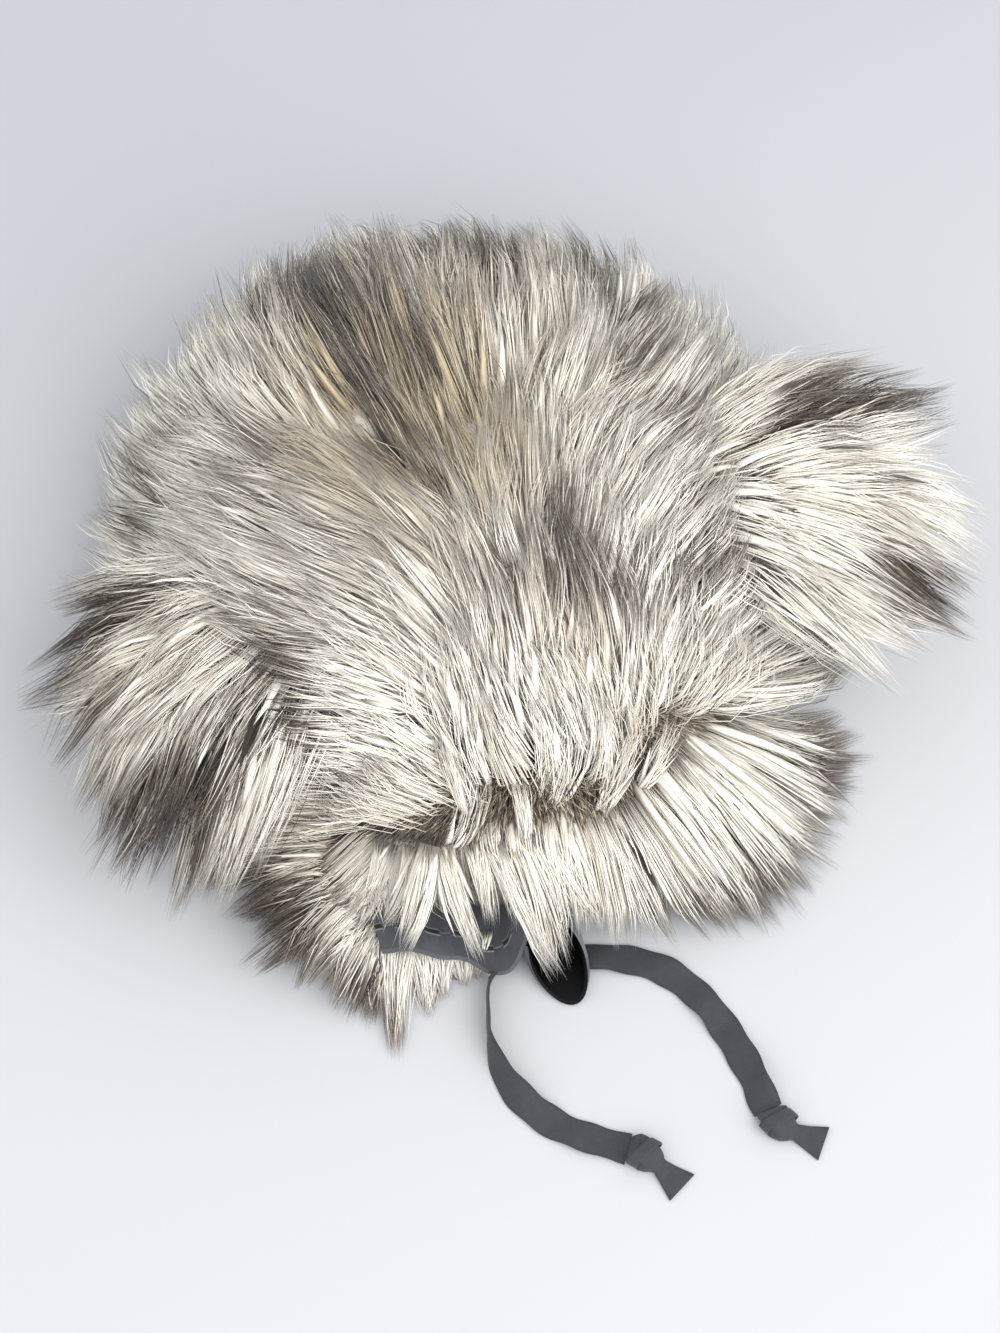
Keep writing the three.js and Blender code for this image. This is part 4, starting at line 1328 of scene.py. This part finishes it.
LONG_HAIR = {
    "Width": 0.0004, "Core width": 0.0026, "Segments": 3, "Spread": 0.1, "Shortest": 0.66, "Flattest": 0.45,
    "Tuft pull": 0.72, "Lock pull": 0.35,
}
UNDER_HAIR = {
    "Width": 0.0004, "Core width": 0.0008, "Segments": 2, "Spread": 0.5, "Shortest": 0.5, "Flattest": 0.5,
    "Tuft pull": 0.2, "Lock pull": 0.0, "Seed": 18000,
}
WISP_HAIR = {
    "Width": 0.0004, "Core width": 0.0016, "Segments": 4, "Spread": 0.06, "Shortest": 0.75, "Flattest": 0.8,
    "Tuft pull": 0.3, "Lock pull": 0.1,
}
CHIN_CORE_WIDTH = 0.0018

# The parts of the hood's pile: the two turns that they lie between, in degrees, and their hairs
HOOD_PARTS = {
    "crown_front_left": (180, 270, 7300),
    "crown_front_right": (270, 360, 7300),
    "crown_back_right": (0, 90, 7300),
    "crown_back_left": (90, 180, 7300),
    "brim": (180, 360, 6900),
}
EAR_HAIRS = 3800
CHIN_HAIRS = 1800
UNDERFUR_COUNTS = {"Hairs": 4800, "Tufts": 320, "Locks": 60}
HAIRS_PER_TUFT = 15
TUFTS_PER_LOCK = 6


def long_pile(name, skin, hairs, node, **values):
    """Long hair in tufts and locks, in place of a node."""
    tufts = hairs / HAIRS_PER_TUFT
    counts = {"Hairs": hairs, "Tufts": tufts, "Locks": tufts / TUFTS_PER_LOCK}
    finish(grown(name, skin, counts, {**LONG_HAIR, **values}), "fur", node)


def wisps(name, table, node, seed):
    """Single wisps, each as a piece, in place of a node."""
    for number, (root, tip, wide, rise, hairs) in enumerate(table):
        skin = wisp_skin(f"{name}_skin_{number + 1}", root, tip, wide, rise)
        counts = {"Hairs": hairs, "Tufts": 5, "Locks": 2}
        hair = grown(f"{name}_{number + 1}", skin, counts, {**WISP_HAIR, "Seed": seed + 1000 * number})
        finish(hair, "fur", node)


for number, (name, (first, last, hairs)) in enumerate(HOOD_PARTS.items()):
    part = name.split("_")[0]
    skin = hood_skin(name + "_skin", first, last, part)
    long_pile(name + "_pile", skin, hairs, part + "_fur", Seed=1000 * number)

for number, ear in enumerate(EARS):
    name = "ear_" + ear["name"]
    long_pile(name + "_pile", ear_skin(ear), EAR_HAIRS, name, Seed=1000 * (number + 10))

long_pile("chin_pile", chin_skin(), CHIN_HAIRS, "chin_fur", Seed=15000, **{"Core width": CHIN_CORE_WIDTH})
hair = grown("underfur_pile", parting_skin(), UNDERFUR_COUNTS, UNDER_HAIR)
finish(hair, "fur", "crown_fur", "brim_fur")
wisps("wisp", WISPS, "brim_fur", 20000)
wisps("chin_wisp", CHIN_WISPS, "chin_fur", 40000)


# Backing and lining


def dome_grid():
    """Turns and rises all over the dome."""
    rise, turn = rings("dome")
    return turn, np.radians(rise)


def shell(name, outer, inner, lift, material):
    """A hollow dome between two grids of points, before the face opening is cut through it."""
    outer[..., 2] = np.maximum(outer[..., 2], lift)
    inner[..., 2] = np.maximum(inner[..., 2], lift)
    return link(closed_mesh(name, np.concatenate([outer[::-1], inner])), name, material)


def undercoat():
    """The dense lower part of the pile as one surface: its points and how high it stands."""
    turn, rise = dome_grid()
    points, crown = hood_pile(turn, rise, "crown")
    _, brim = hood_pile(turn, rise, "brim")
    on_crown = soft_step(np.degrees(rise) - seam_rise(turn), 0, UNDERCOAT["blend"])
    lift = crown["lift"] * on_crown[..., None] + brim["lift"] * (1 - on_crown)[..., None]
    clear = soft_step(from_parting(points)[1], UNDERCOAT["bare"], UNDERCOAT["full"])
    from_front = np.abs(np.degrees(turn) - 270)
    over_face = (1 - on_crown) * (1 - soft_step(from_front, *UNDERCOAT["face"]))
    clear = clear * (1 - over_face) * soft_step(np.degrees(rise), 0, UNDERCOAT["rim"])
    for ear in EARS:
        clear = clear * soft_step(ear_room(ear, points + lift * UNDERCOAT["share"]), *UNDERCOAT["ear"])
    x, y = points[..., 0], points[..., 1]
    ripple = 1 + UNDERCOAT["ripple"] * np.sin(x / 3.1 + 2 * np.sin(y / 17)) * np.sin(y / 4.3)
    return dome_point(turn, rise) + lift * (UNDERCOAT["share"] * clear * ripple)[..., None], clear


def face_cutter():
    """A long block with an arched top, as wide and high as the face opening."""
    tall = FACE["height"] - FACE["straight"]
    angles = np.linspace(0, math.pi, 33)
    outline = [(FACE["half_width"], FACE["below"])]
    outline += [(FACE["half_width"] * math.cos(a), FACE["straight"] + tall * math.sin(a)) for a in angles]
    outline += [(-FACE["half_width"], FACE["below"])]
    count = len(outline)
    sides = (FACE["front"], FACE["back"])
    points = [((x + FACE["x"]) * MM, y * MM, z * MM) for y in sides for x, z in outline]
    faces = [list(range(count))[::-1], list(range(count, 2 * count))]
    faces += [[k, (k + 1) % count, (k + 1) % count + count, k + count] for k in range(count)]
    mesh = bpy.data.meshes.new("face_cutter")
    mesh.from_pydata(points, [], faces)
    return link(mesh, "face_cutter")


def cut(piece, cutter):
    """Cuts one piece out of another."""
    modifier = piece.modifiers.new("cut", "BOOLEAN")
    modifier.operation = "DIFFERENCE"
    modifier.object = cutter
    modifier.solver = "EXACT"
    mesh = bpy.data.meshes.new_from_object(piece.evaluated_get(bpy.context.evaluated_depsgraph_get()))
    piece.modifiers.remove(modifier)
    old = piece.data
    piece.data = mesh
    bpy.data.meshes.remove(old)
    mesh.name = piece.name


def chin_profile():
    """The chin lining from its left to the end of its fold, seen from in front, as points x and z."""
    points = list(CHIN_LINING_WAVE)
    for share in np.linspace(0, 1, CHIN_FOLD["turns"] + 1):
        angle = math.radians(CHIN_FOLD["from"] + (CHIN_FOLD["to"] - CHIN_FOLD["from"]) * share)
        reach = CHIN_FOLD["radius"]
        points.append((CHIN_FOLD["x"] + reach * math.cos(angle), CHIN_FOLD["z"] + reach * math.sin(angle)))
    return smooth_line(points, CLOTH_STEP)


def cloth_layer(profile, out, y, offset):
    """A layer of cloth along a profile of x and z, so far off it at each point."""
    flat = 0 * y
    middle = np.stack([profile[:, :1] + flat, y, profile[:, 1:] + flat], -1)
    way = np.stack([out[:, 0], 0 * out[:, 0], out[:, 1]], -1)
    points = middle + way[:, None] * offset[..., None]
    points[..., 2] = np.maximum(points[..., 2], CLOTH_GAP)
    return points


def chin_lining():
    """The chin corner's lining, from its hemmed front edge back under the brim, with its rounded fold, whose
    inside is painted near-black as its shadow.
    """
    profile = chin_profile()
    x, z = profile[:, 0], profile[:, 1]
    ahead = unit(np.gradient(profile, axis=0))
    out = np.stack([-ahead[:, 1], ahead[:, 0]], -1)
    front = chin_edge(x, z)
    back = np.interp(x, CHIN_BACK["x"], CHIN_BACK["y"])
    columns = int((back - front).max() / CLOTH_STEP)
    y = front[:, None] + (back - front)[:, None] * np.linspace(0, 1, columns + 1)
    far = lengths_along(profile)[:, None]
    from_edge = y - front[:, None]
    hem = 1 - soft_step(from_edge, HEM["from_edge"] - 0.8, HEM["from_edge"] + 0.2)
    beside_seam = np.exp(-np.abs(from_edge - HEM["from_edge"]) / PUCKER["fades"])
    pucker = PUCKER["high"] * np.sin(far * PUCKER["rate"] + 0.4 * np.sin(y * 0.3)) * beside_seam
    sag = CLOTH_SAG["high"] * np.sin(far * CLOTH_SAG["along"] + 1) * np.sin(y * CLOTH_SAG["across"])
    rolled = np.sqrt(np.clip(from_edge / HEM["rounded"], 0.02, 1))
    half = LINING_WALL / 2 * rolled
    top = cloth_layer(profile, out, y, half + HEM["rise"] * hem * rolled + pucker + sag)
    bottom = cloth_layer(profile, out, y, sag - half)
    ring = np.concatenate([top, bottom[:, ::-1]], axis=1)
    mesh = closed_mesh("chin_lining_cloth", ring)
    both = np.concatenate([from_edge, from_edge[:, ::-1]], axis=1)
    lay_map(mesh, "cloth", far + 0 * both, both)
    cloth = link(mesh, "chin_lining_cloth", hemmed_look)
    # The inner faces of the fold, past where it starts to turn, take the near-black of painted shadow
    mesh.materials.append(fold_shadow_look)
    fold_starts = far[-1, 0] - math.radians(CHIN_FOLD["from"] - CHIN_FOLD["to"]) * CHIN_FOLD["radius"]
    for face in mesh.polygons:
        row, column = divmod(min(face.vertices), ring.shape[1])
        inner = column > columns or (column == 0 and max(face.vertices) % ring.shape[1] > columns)
        if inner and far[row, 0] > fold_starts:
            face.material_index = 1
    return cloth


def ear_pad(ear):
    """The padded leaf under an ear's pile."""
    name = "ear_" + ear["name"] + "_pad"
    return link(closed_mesh(name, ear_points(ear, *rings("ear_pad"))), name, underfur_look)


def chin_backing():
    """The chin corner under its pile."""
    mesh = closed_mesh("chin_backing", chin_points(*rings("chin_backing")))
    return link(mesh, "chin_backing", underfur_look)


lining_look = lining_material("lining_satin", *LINING_SHADES, LINING_SHEEN)[0]
hemmed_look = hemmed_material()
# Near-black cloth as painted shadow inside the fold
fold_shadow_look = lining_material("lining_fold_shadow", *FOLD_SHADOW_SHADES, {"Specular IOR Level": 0.1})[0]

cutter = face_cutter()
around, up = dome_grid()
coat, pale = undercoat()
backing = shell("backing", coat, dome_point(around, up, -FUR_WALL), 0, underfur_look)
give(backing.data, "pale", np.concatenate([pale[::-1], 0 * pale]))
cut(backing, cutter)
finish(backing, "fur", "crown_fur", "brim_fur")
skins = [dome_point(around, up, -FUR_WALL - GAP - inner) for inner in (0, LINING_WALL)]
hood_lining = shell("hood_lining", *skins, RIM_LIFT, lining_look)
cut(hood_lining, cutter)
finish(hood_lining, "lining_cloth", "lining")
bpy.data.objects.remove(cutter)

chin_cloth = finish(chin_lining(), "lining_cloth", "chin_lining")
finish(chin_backing(), "fur", "chin_fur")
for ear in EARS:
    pad = finish(ear_pad(ear), "fur", "ear_" + ear["name"])


# Floor and light

# The floor's colour darkens a little towards the back, between these places, as painted shade where the light
# falls off
FLOOR_SHADE = (-0.15, 0.3)
FLOOR_COLOURS = (181, 182, 185), (167, 169, 174)
FLOOR_HALF = 3
WORLD = {"Color": colour(243, 243, 245), "Strength": 1.3}


def make_stage():
    """A wide floor of pale paper, with painted shade towards the back, and even light from all round."""
    mesh = bpy.data.meshes.new("floor")
    corners = [(x * FLOOR_HALF, y * FLOOR_HALF, 0) for x, y in ((-1, -1), (1, -1), (1, 1), (-1, 1))]
    mesh.from_pydata(corners, [], [(0, 1, 2, 3)])
    material, pen, shader = new_material("floor_paper", {"Roughness": 0.9})
    _, back, _ = pen.split(pen.place())
    # Painted shade: the floor is darker towards the back
    shade = pen.blend(*FLOOR_COLOURS, pen.smooth(back, *FLOOR_SHADE))
    pen.join(shade, shader.inputs["Base Color"])
    floor = link(mesh, "floor", material)
    world = bpy.data.worlds.new("studio")
    world.use_nodes = True
    for socket, value in WORLD.items():
        world.node_tree.nodes["Background"].inputs[socket].default_value = value
    bpy.context.scene.world = world


LIGHTS = [
    {"name": "key", "place": (0.55, -0.9, 1.0), "size": 1.5, "power": 20},
    {"name": "fill", "place": (-0.9, -0.8, 1.5), "size": 1.8, "power": 7},
]


def make_lights():
    for light in LIGHTS:
        lamp = bpy.data.lights.new(light["name"], "AREA")
        lamp.shape = "DISK"
        lamp.size = light["size"]
        lamp.energy = light["power"]
        lit = bpy.data.objects.new(light["name"], lamp)
        x, y, z = light["place"]
        lit.location = light["place"]
        lit.rotation_euler = (math.atan2(math.hypot(x, y), z), 0, math.atan2(y, x) + math.pi / 2)
        bpy.context.collection.objects.link(lit)


make_stage()
make_lights()
bpy.context.scene.view_settings.view_transform = "Standard"
